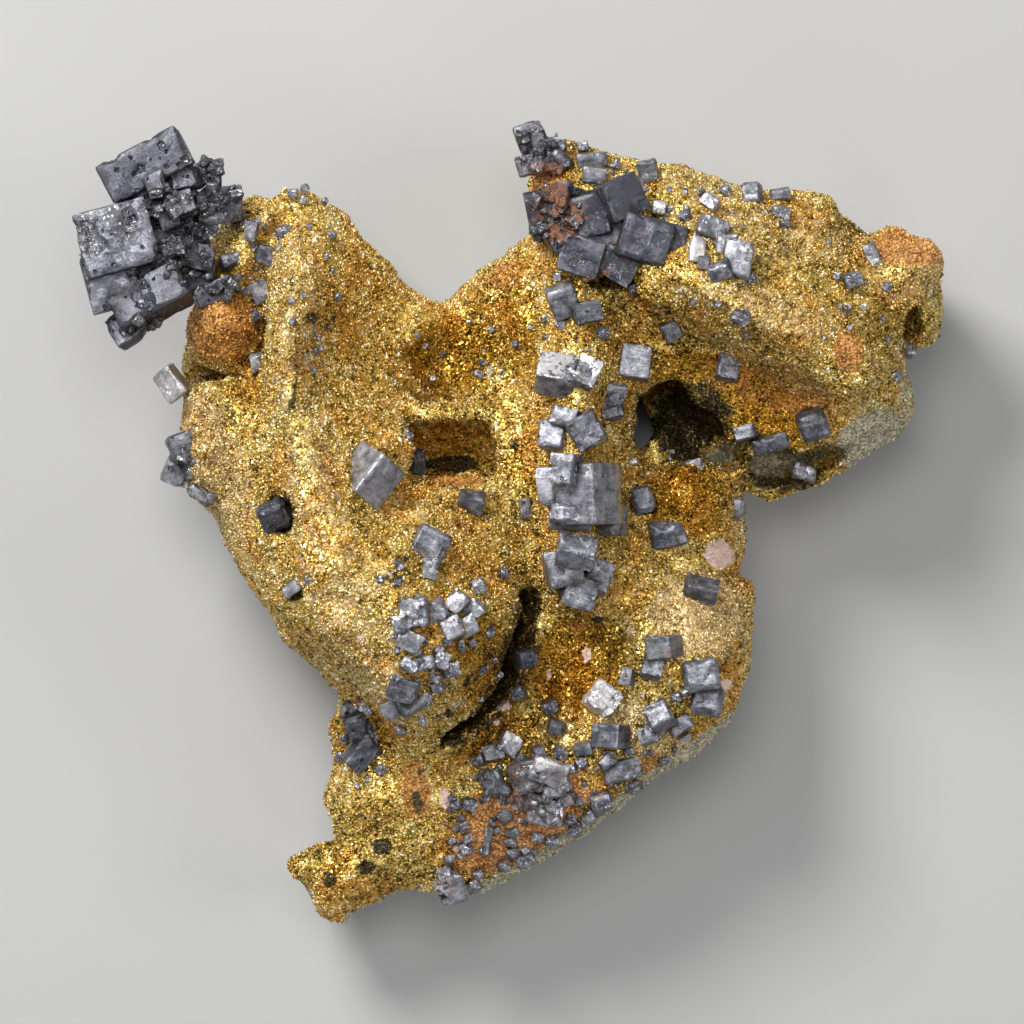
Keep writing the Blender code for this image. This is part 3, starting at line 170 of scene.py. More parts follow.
TRENCH = ((530, 600, 0.6), (523, 640, 0.85), (507, 684, 0.75), (484, 716, 0.65), (448, 742, 0.5))
TRENCH_FLOOR = 5.4
TRENCH_LEAN = 0.22
TRENCH_BRIM = 13.0
RIDGE_BAR = ((655, 274, 15.7), (848, 368, 14.8), 1.25)
LIP_BAR = ((406, 413, 12.2), (496, 415, 12.7), 0.42)
RECESS = ((451, 450, 10.2), (2.35, 1.5, 3.9), 0.35)
# The floor of the recess at its south wall, where that wall lies in plan, and its slope
RECESS_FLOOR = 8.6
RECESS_SOUTH = 480.0
RECESS_SLOPE = 0.85

# Wave length and depth of the druse's lumps and of the broken rock's, from large to small
DRUSE_WAVES = ((2.1, 0.14), (1.0, 0.12), (0.5, 0.08))
BREAK_WAVES = ((1.4, 0.22), (0.6, 0.13))

# Where the rock's face is broken: how near to the rim in plan, below which levels, and its low walls
BREAK_RIM = (-0.9, -0.2)
BREAK_TOP = (9.6, 8.2)
BREAK_WALL = (5.4, 4.2)

# The border between the druse and the bare rock of the walls, and between the walls and the face in plan
STAIN_AND_SHADE_WALL = (5.0, 7.0)
BARE_BELOW = (7.6, 6.4)
BARE_BACK = (0.9, 0.3)
DRUSE_FROM = (5.6, 7.4)
INNER_FACE = (-1.8, -3.4)
OUTER_RIM = (-3.4, -1.8)

# How a stain, and likewise painted shade, fades at the edge of a spot and of a streak
SPOT_FADE = (0.55, 1.25)
STREAK_FADE = (-0.25, 0.3)

# The lean of a crystal that has no turns of its own, in degrees, and the side from which it counts as large
LARGE_LEAN = 4.0
SMALL_LEAN = 13.0
LARGE_SIDE = 1.8
MOST_PITS = 60


def at(x: float, y: float) -> tuple[float, float]:
    """Return a plan place as millimetres about the middle of the specimen."""
    return (x - PLAN_MIDDLE[0]) * PLAN_UNIT, (PLAN_MIDDLE[1] - y) * PLAN_UNIT


def smooth_step(low: float, high: float, value: Array) -> Array:
    """Return 0 below low, 1 above high and a smooth rise between."""
    share = np.clip((value - low) / (high - low), 0.0, 1.0)
    return share * share * (3.0 - 2.0 * share)


def blend_max(a: Array, b: Array, radius: float) -> Array:
    """Return the greater of two fields, rounded over a radius where they meet."""
    share = np.maximum(radius - np.abs(a - b), 0.0) / radius
    return np.maximum(a, b) + share * share * radius * 0.25


def blend_min(a: Array, b: Array, radius: float) -> Array:
    """Return the lesser of two fields, rounded over a radius where they meet."""
    return -blend_max(-a, -b, radius)


def polygon_distance(x: Array, y: Array, corners: Sequence[Place]) -> Array:
    """Return the signed distance to a polygon of plan places, below zero inside it."""
    points = [at(corner[0], corner[1]) for corner in corners]
    nearest = np.full(np.shape(x), np.inf)
    crossings = np.zeros(np.shape(x), dtype=int)
    for (ax, ay), (bx, by) in zip(points, points[1:] + points[:1]):
        dx, dy = bx - ax, by - ay
        share = np.clip(((x - ax) * dx + (y - ay) * dy) / (dx * dx + dy * dy), 0.0, 1.0)
        nearest = np.minimum(nearest, np.hypot(x - ax - share * dx, y - ay - share * dy))
        spans = (ay > y) != (by > y)
        crossings += spans & (x < ax + (y - ay) * dx / (dy if dy else 1e-9))
    return np.where(crossings % 2 == 1, -nearest, nearest)


def line_distance(x: Array, y: Array, line: Sequence[Place]) -> Array:
    """Return the distance in plan to a line of plan places, each with its half width in millimetres."""
    nearest = np.full(np.shape(x), np.inf)
    points = [(*at(place[0], place[1]), place[2]) for place in line]
    for (ax, ay, aw), (bx, by, bw) in zip(points, points[1:]):
        dx, dy = bx - ax, by - ay
        share = np.clip(((x - ax) * dx + (y - ay) * dy) / (dx * dx + dy * dy), 0.0, 1.0)
        reach = np.hypot(x - ax - share * dx, y - ay - share * dy)
        nearest = np.minimum(nearest, reach - aw - share * (bw - aw))
    return nearest


def ellipsoid(x: Array, y: Array, z: Array, centre: Place, radii: Place) -> Array:
    """Return a field that is below zero inside an ellipsoid, given by plan place, level and radii."""
    cx, cy = at(centre[0], centre[1])
    gaps = zip((x, y, z), (cx, cy, centre[2]), radii)
    reach = np.sqrt(sum(((value - middle) / radius) ** 2 for value, middle, radius in gaps))
    return (reach - 1.0) * min(radii)


def rounded_bar(x: Array, y: Array, z: Array, start: Place, end: Place, radius: float) -> Array:
    """Return the distance to a bar with round ends between two points of plan place and level."""
    a = np.array([*at(start[0], start[1]), start[2]])
    b = np.array([*at(end[0], end[1]), end[2]])
    reach = b - a
    share = (x - a[0]) * reach[0] + (y - a[1]) * reach[1] + (z - a[2]) * reach[2]
    share = np.clip(share / (reach @ reach), 0.0, 1.0)
    gap = [value - a[k] - share * reach[k] for k, value in enumerate((x, y, z))]
    return np.sqrt(gap[0] ** 2 + gap[1] ** 2 + gap[2] ** 2) - radius


def rounded_box(x: Array, y: Array, z: Array, centre: Place, half: Place, radius: float) -> Array:
    """Return the distance to a box with rounded edges, given by plan place, level and half sizes."""
    cx, cy = at(centre[0], centre[1])
    gaps = [np.abs(value - middle) - size + radius
            for value, middle, size in zip((x, y, z), (cx, cy, centre[2]), half)]
    outside = np.sqrt(sum(np.maximum(gap, 0.0) ** 2 for gap in gaps))
    return outside + np.minimum(np.maximum.reduce(gaps), 0.0) - radius


def ripple(x: Array, y: Array, z: Array, length: float) -> Array:
    """Return gentle uneven waves between about -1 and 1 with a given wave length."""
    turn = 2.0 * math.pi / length
    first = np.sin(turn * (x + 0.3 * y + 0.5 * z) + 1.7 * np.sin(turn * (0.43 * y - 0.31 * z) + 0.4))
    second = np.sin(turn * (0.9 * y - 0.4 * x + 0.3 * z) + 1.9 * np.sin(turn * (0.37 * x + 0.52 * z) + 2.1))
    third = np.sin(turn * (0.8 * z + 0.6 * x - 0.5 * y) + 1.3 * np.sin(turn * (0.61 * x + 0.29 * y) + 4.0))
    return (first + second + third) / 3.0


@dataclass(frozen=True)
class Noise:
    """Repeatable uneven values over space, worked out from a hash of whole cells."""

    seed: int

    def cells(self, cell: Array) -> Array:
        """Return a value from 0 to 1 for each row of three whole numbers."""
        code = cell[..., 0] * 73856093 ^ cell[..., 1] * 19349663 ^ cell[..., 2] * 83492791 ^ self.seed * 40503
        code = code & 0xFFFFFFFF
        for _ in range(2):
            code = ((code ^ (code >> 16)) * 0x45D9F3B) & 0xFFFFFFFF
        return (code ^ (code >> 16)) / 0xFFFFFFFF

    def smooth(self, points: Array, wave: float) -> Array:
        """Return smooth values from -1 to 1 at points, with a given wave length."""
        scaled = points / wave
        whole = np.floor(scaled).astype(np.int64)
        part = scaled - whole
        part = part * part * (3.0 - 2.0 * part)
        total = np.zeros(len(points))
        for corner in np.ndindex(2, 2, 2):
            share = np.prod(np.where(corner, part, 1.0 - part), axis=1)
            total += share * self.cells(whole + np.array(corner))
        return total * 2.0 - 1.0

    def layers(self, points: Array, waves: Iterable[tuple[float, float]]) -> Array:
        """Return the sum of smooth values of several wave lengths and depths."""
        return sum(depth * self.smooth(points, wave) for wave, depth in waves)


def surface_net(values: Array, low: Place, cell: float) -> tuple[Array, Array]:
    """Draw the zero surface of a sampled field.

    Args:
        values: The field on a regular grid, below zero inside.
        low: The grid's first corner.
        cell: The grid's step.

    Returns:
        The vertices and the four-sided faces, turned outwards.
    """
    cells = tuple(n - 1 for n in values.shape)
    total = np.zeros(cells + (3,))
    count = np.zeros(cells)
    for axis in range(3):
        first, second = [k for k in range(3) if k != axis]
        for i in (0, 1):
            for j in (0, 1):
                offset = [0, 0, 0]
                offset[first], offset[second] = i, j
                start = values[tuple(slice(o, o + n) for o, n in zip(offset, cells))]
                offset[axis] = 1
                end = values[tuple(slice(o, o + n) for o, n in zip(offset, cells))]
                crossed = (start < 0) != (end < 0)
                share = np.where(crossed, start / np.where(crossed, start - end, 1.0), 0.0)
                total[..., first] += crossed * i
                total[..., second] += crossed * j
                total[..., axis] += crossed * share
                count += crossed
    active = count > 0
    ids = np.full(cells, -1)
    ids[active] = np.arange(int(active.sum()))
    places = np.argwhere(active) + total[active] / count[active][:, None]
    faces = []
    inside = values < 0
    for axis in range(3):
        first, second = (axis + 1) % 3, (axis + 2) % 3
        here = [slice(1, -1)] * 3
        there = [slice(1, -1)] * 3
        here[axis] = slice(0, -1)
        there[axis] = slice(1, None)
        change = inside[tuple(here)] != inside[tuple(there)]
        node = np.argwhere(change)
        node[:, first] += 1
        node[:, second] += 1
        outward = inside[tuple(here)][change]
        corners = []
        for di, dj in ((1, 1), (0, 1), (0, 0), (1, 0)):
            index = node.copy()
            index[:, first] -= di
            index[:, second] -= dj
            corners.append(ids[tuple(index.T)])
        quads = np.stack(corners, axis=1)
        quads[~outward] = quads[~outward][:, ::-1]
        faces.append(quads)
    return places * cell + np.array(low), np.concatenate(faces)


class Relief:
    """The height of the druse over the plan, drawn smoothly through the crest and foot lines."""

    def __init__(self) -> None:
        """Solve the weights that make the surface pass through every line."""
        points: list[Place] = []
        for line in (OUTLINE + OUTLINE[:1], *RELIEF_LINES):
            points += self.along(line)
        kept: list[Place] = []
        for point in points:
            if all(math.dist(point[:2], other[:2]) > 0.3 for other in kept):
                kept.append(point)
        known = np.array(kept)
        self.places = known[:, :2]
        self.mean = known[:, 2].mean()
        self.weights = np.linalg.solve(self.reach(self.places), known[:, 2] - self.mean)

    @staticmethod
    def along(line: Sequence[Place]) -> list[Place]:
        """Return points along a line of plan places and levels, no more than a step apart."""
        points = [(*at(place[0], place[1]), place[2]) for place in line]
        result = [points[0]]
        for start, end in zip(points, points[1:]):
            count = max(1, math.ceil(math.dist(start[:2], end[:2]) / LINE_STEP))
            for index in range(1, count + 1):
                share = index / count
                result.append(tuple(a + (b - a) * share for a, b in zip(start, end)))
        return result

    def reach(self, points: Array) -> Array:
        """Return how far each point is from each known place, softened close by."""
        gap = np.linalg.norm(points[:, None] - self.places[None], axis=2)
        return np.sqrt(gap ** 2 + RIDGE_SHARPNESS ** 2)

    def height(self, x: Array, y: Array) -> Array:
        """Return the height over plan places, as an array of their shape."""
        flat = np.stack([np.ravel(x), np.ravel(y)], axis=1)
        parts = [self.reach(flat[start:start + CHUNK]) @ self.weights for start in range(0, len(flat), CHUNK)]
        return (np.concatenate(parts) + self.mean).reshape(np.shape(x))


class StainAndShade(Enum):
    """What lies on the druse or shows through it, and painted shade: the dark kind darkens gaps, cavities and
    the trench, the deep kind gives hollows and undersides a deeper, warmer gold.
    """

    RUST = "rust"
    RED = "red"
    TAN = "tan"
    ROCK = "rock"
    PALE = "pale"
    # The last two kinds are painted shade, not stains
    DARK = "dark"
    DEEP = "deep"


@dataclass(frozen=True)
class Spot:
    """An oval area of a stain, with the dark and deep kinds painted shade: its plan place, half sizes in plan
    units, turn in degrees and strength.
    """

    stain_and_shade: StainAndShade
    x: float
    y: float
    half_x: float
    half_y: float
    turn: float = 0.0
    power: float = 1.0

    def share(self, x: Array, y: Array) -> Array:
        """Return the strength at plan places in millimetres."""
        cx, cy = at(self.x, self.y)
        angle = math.radians(self.turn)
        along = (x - cx) * math.cos(angle) + (y - cy) * math.sin(angle)
        across = (y - cy) * math.cos(angle) - (x - cx) * math.sin(angle)
        reach = np.hypot(along / self.half_x, across / self.half_y) / PLAN_UNIT
        return self.power * (1.0 - smooth_step(*SPOT_FADE, reach))


@dataclass(frozen=True)
class Streak:
    """A stain, with the dark kind painted shade, along a line of plan places, each with its half width in
    millimetres.
    """

    stain_and_shade: StainAndShade
    line: tuple[Place, ...]
    power: float = 1.0

    def share(self, x: Array, y: Array) -> Array:
        """Return the strength at plan places in millimetres."""
        return self.power * (1.0 - smooth_step(*STREAK_FADE, line_distance(x, y, self.line)))


# Oval stains by kind, the dark and deep kinds being painted shade: plan place, half sizes in plan units, turn
# in degrees and strength
SPOTS: dict[StainAndShade, tuple[Place, ...]] = {
    StainAndShade.RUST: (
        (221, 326, 44, 42, 0, 0.95), (456, 480, 32, 6, 0, 0.9), (846, 353, 17, 26, 10, 1),
        (515, 820, 110, 56, 32, 0.6), (908, 246, 44, 28, 0, 0.75), (507, 276, 22, 20, 0, 0.62),
        (800, 396, 36, 26, -10, 0.6), (592, 622, 40, 16, 20, 0.5), (300, 640, 30, 30, 0, 0.42),
        (770, 392, 100, 26, -20, 0.55), (552, 200, 22, 44, 0, 0.7), (240, 290, 26, 60, 0, 0.45),
        (416, 790, 17, 34, 10, 0.95), (900, 292, 36, 40, 0, 0.4), (560, 216, 30, 36, 0, 0.9),
        (652, 764, 16, 14, 0, 0.7), (600, 262, 60, 22, 0, 0.4), (545, 240, 12, 20, 0, 0.6),
        (690, 540, 60, 14, 20, 0.35),
    ),
    StainAndShade.RED: (
        (846, 353, 13, 22, 10, 0.42), (520, 822, 100, 48, 32, 0.7), (540, 192, 12, 26, 0, 0.6),
        (500, 860, 34, 10, 30, 0.5),
    ),
    StainAndShade.TAN: (
        (700, 615, 62, 56, 0, 0.7), (214, 470, 44, 110, 14, 0.58), (462, 520, 66, 50, 0, 0.4),
        (370, 600, 52, 52, 0, 0.5), (905, 268, 52, 46, 0, 0.5), (780, 235, 100, 40, -8, 0.5),
        (700, 185, 60, 26, -8, 0.5), (760, 310, 90, 26, -26, 0.55), (430, 690, 40, 26, 0, 0.35),
        (262, 250, 30, 60, 0, 0.45), (545, 835, 90, 30, 35, 0.66), (650, 740, 84, 36, -38, 0.62),
        (560, 850, 60, 24, -36, 0.6),
    ),
    StainAndShade.ROCK: (
        (316, 350, 16, 46, 0, 0.42), (300, 430, 9, 60, 8, 0.42), (492, 372, 18, 16, 0, 0.5),
        (876, 440, 44, 34, 25, 0.95), (690, 297, 34, 9, -26, 0.5), (912, 400, 16, 40, 0, 0.6),
    ),
    StainAndShade.PALE: (
        (720, 555, 17, 17, 0, 1), (503, 706, 8, 7, 0, 1), (496, 723, 4, 4, 0, 1), (587, 654, 5, 10, 0, 1),
        (630, 630, 5, 5, 0, 0.9), (645, 695, 4, 4, 0, 0.8), (727, 685, 7, 7, 0, 1), (444, 799, 6, 12, 0, 1),
        (455, 850, 6, 5, 0, 0.9), (548, 675, 4, 8, 0, 0.8), (362, 636, 6, 6, 0, 0.7),
        (515, 608, 4, 4, 0, 0.8),
    ),
    # Painted shade: near black in the cavities, the recess, the pits and the gaps between forms
    StainAndShade.DARK: (
        (417, 802, 7, 14, 8, 0.8), (421, 772, 5, 6, 0, 0.6), (281, 516, 21, 22, 0, 0.9),
        (297, 592, 11, 11, 0, 0.8), (381, 848, 12, 10, 0, 0.9), (365, 869, 13, 9, 20, 0.8),
        (328, 881, 10, 9, 0, 0.8), (313, 319, 9, 7, 0, 0.7), (296, 400, 5, 22, -8, 0.7),
        (515, 445, 5, 6, 0, 1), (405, 562, 12, 12, 0, 0.5), (396, 578, 14, 6, 0, 0.6),
        (692, 424, 50, 54, 0, 0.72), (785, 470, 50, 26, 0, 0.75), (735, 440, 60, 16, -10, 0.55),
        (452, 464, 32, 11, 0, 0.85), (449, 712, 6, 5, 0, 0.7), (597, 620, 8, 5, 0, 0.7),
        (677, 607, 5, 4, 0, 0.7), (470, 678, 9, 9, 0, 0.6), (490, 655, 5, 5, 0, 0.7),
        (742, 647, 5, 6, 0, 0.6), (455, 745, 9, 6, 0, 0.6),
    ),
    # Painted shade: a warm dark gold in the saddle, the recess, the bowls and under the ridge
    StainAndShade.DEEP: (
        (450, 440, 52, 24, 0, 0.62), (455, 355, 60, 50, 0, 0.8), (580, 665, 62, 60, 0, 0.8),
        (500, 740, 60, 26, 30, 0.6), (690, 500, 50, 46, 0, 0.75), (735, 400, 100, 40, -24, 1.1),
        (486, 660, 40, 76, 22, 0.72), (365, 730, 42, 40, 0, 0.6), (340, 880, 50, 30, 0, 0.4),
        (520, 330, 24, 70, 0, 0.6),
    ),
}

# Stains along a line, the dark one being painted shade: plan places with half widths in millimetres, and
# strength
STREAKS = (
    (StainAndShade.TAN, (
        (300, 240, 0.9), (302, 320, 1.2), (300, 380, 1.2), (310, 450, 1.2), (325, 540, 1.6),
        (345, 610, 1.8), (385, 680, 1.3), (400, 720, 0.6),
    ), 0.5),
    (StainAndShade.ROCK, (
        (738, 716, 0.35), (664, 776, 0.55), (588, 834, 0.65), (518, 882, 0.7), (443, 910, 0.6),
        (350, 924, 0.4),
    ), 0.85),
    # Painted shade along the trench under the belly
    (StainAndShade.DARK, (
        (530, 600, 0.7), (523, 640, 1.0), (507, 684, 0.9), (484, 716, 0.7), (448, 742, 0.5),
    ), 0.6),
)
STAINS_AND_SHADE: list[Spot | Streak] = [Spot(kind, *row) for kind, rows in SPOTS.items() for row in rows]
STAINS_AND_SHADE += [Streak(*row) for row in STREAKS]


@dataclass(frozen=True)
class Habit:
    """How the faces of a crystal are worked, in millimetres and shares."""

    warp: float = 0.012
    terraces: int = 2
    terrace_depth: float = 0.05
    pits: float = 0.5
    pit_depth: float = 0.1
    pit_size: float = 0.09
    crumble: float = 0.1
    crumble_from: float = 0.1
    chamfer: float = 0.03


class Growth(Enum):
    """The ways in which the crystals grew."""

    SMOOTH = Habit(warp=0.006, terraces=1, terrace_depth=0.025, pits=0.25, pit_depth=0.05, pit_size=0.06,
                   crumble=0.05, crumble_from=0.45)
    STEPPED = Habit()
    PITTED = Habit(pits=2.2, pit_depth=0.15, crumble=0.2, crumble_from=-0.1)
    SKELETAL = Habit(warp=0.008, pits=1.0, pit_depth=0.22, pit_size=0.1, crumble=0.24, crumble_from=0.26)
    MASSIVE = Habit(warp=0.014, terraces=3, terrace_depth=0.09, pits=0.2, pit_depth=0.08, crumble=0.08,
                    crumble_from=0.25, chamfer=0.04)
    ROUNDED = Habit(warp=0.045, terraces=1, pits=1.0, crumble=0.12, chamfer=0.2)


@dataclass(frozen=True)
class Block:
    """One pseudocubic crystal: its plan place, its edges in millimetres and its turns in degrees.

    rise is how far its middle stands above the druse, and level sets the middle's height instead.
    edge is the chamfer as a share of the shortest side, and tone how light the crystal is; on the two lower
    slab blocks it is painted shade.
    """

    x: float
    y: float
    length: float
    width: float
    height: float
    turn: float = 0.0
    rise: float = 0.2
    tilt: float = 0.0
    roll: float = 0.0
    level: float = 0.0
    edge: float = 0.0
    tone: float = 0.0


@dataclass(frozen=True)
class Character:
    """How the crystals of a group grew and look, and how softly they run into each other, in millimetres."""

    growth: Growth = Growth.STEPPED
    tone: float = 0.0
    rust: float = 0.05
    # How strongly the tops, most of all their north sides, are painted with a near-white highlight
    bright: float = 0.12
    weld: float = 0.04


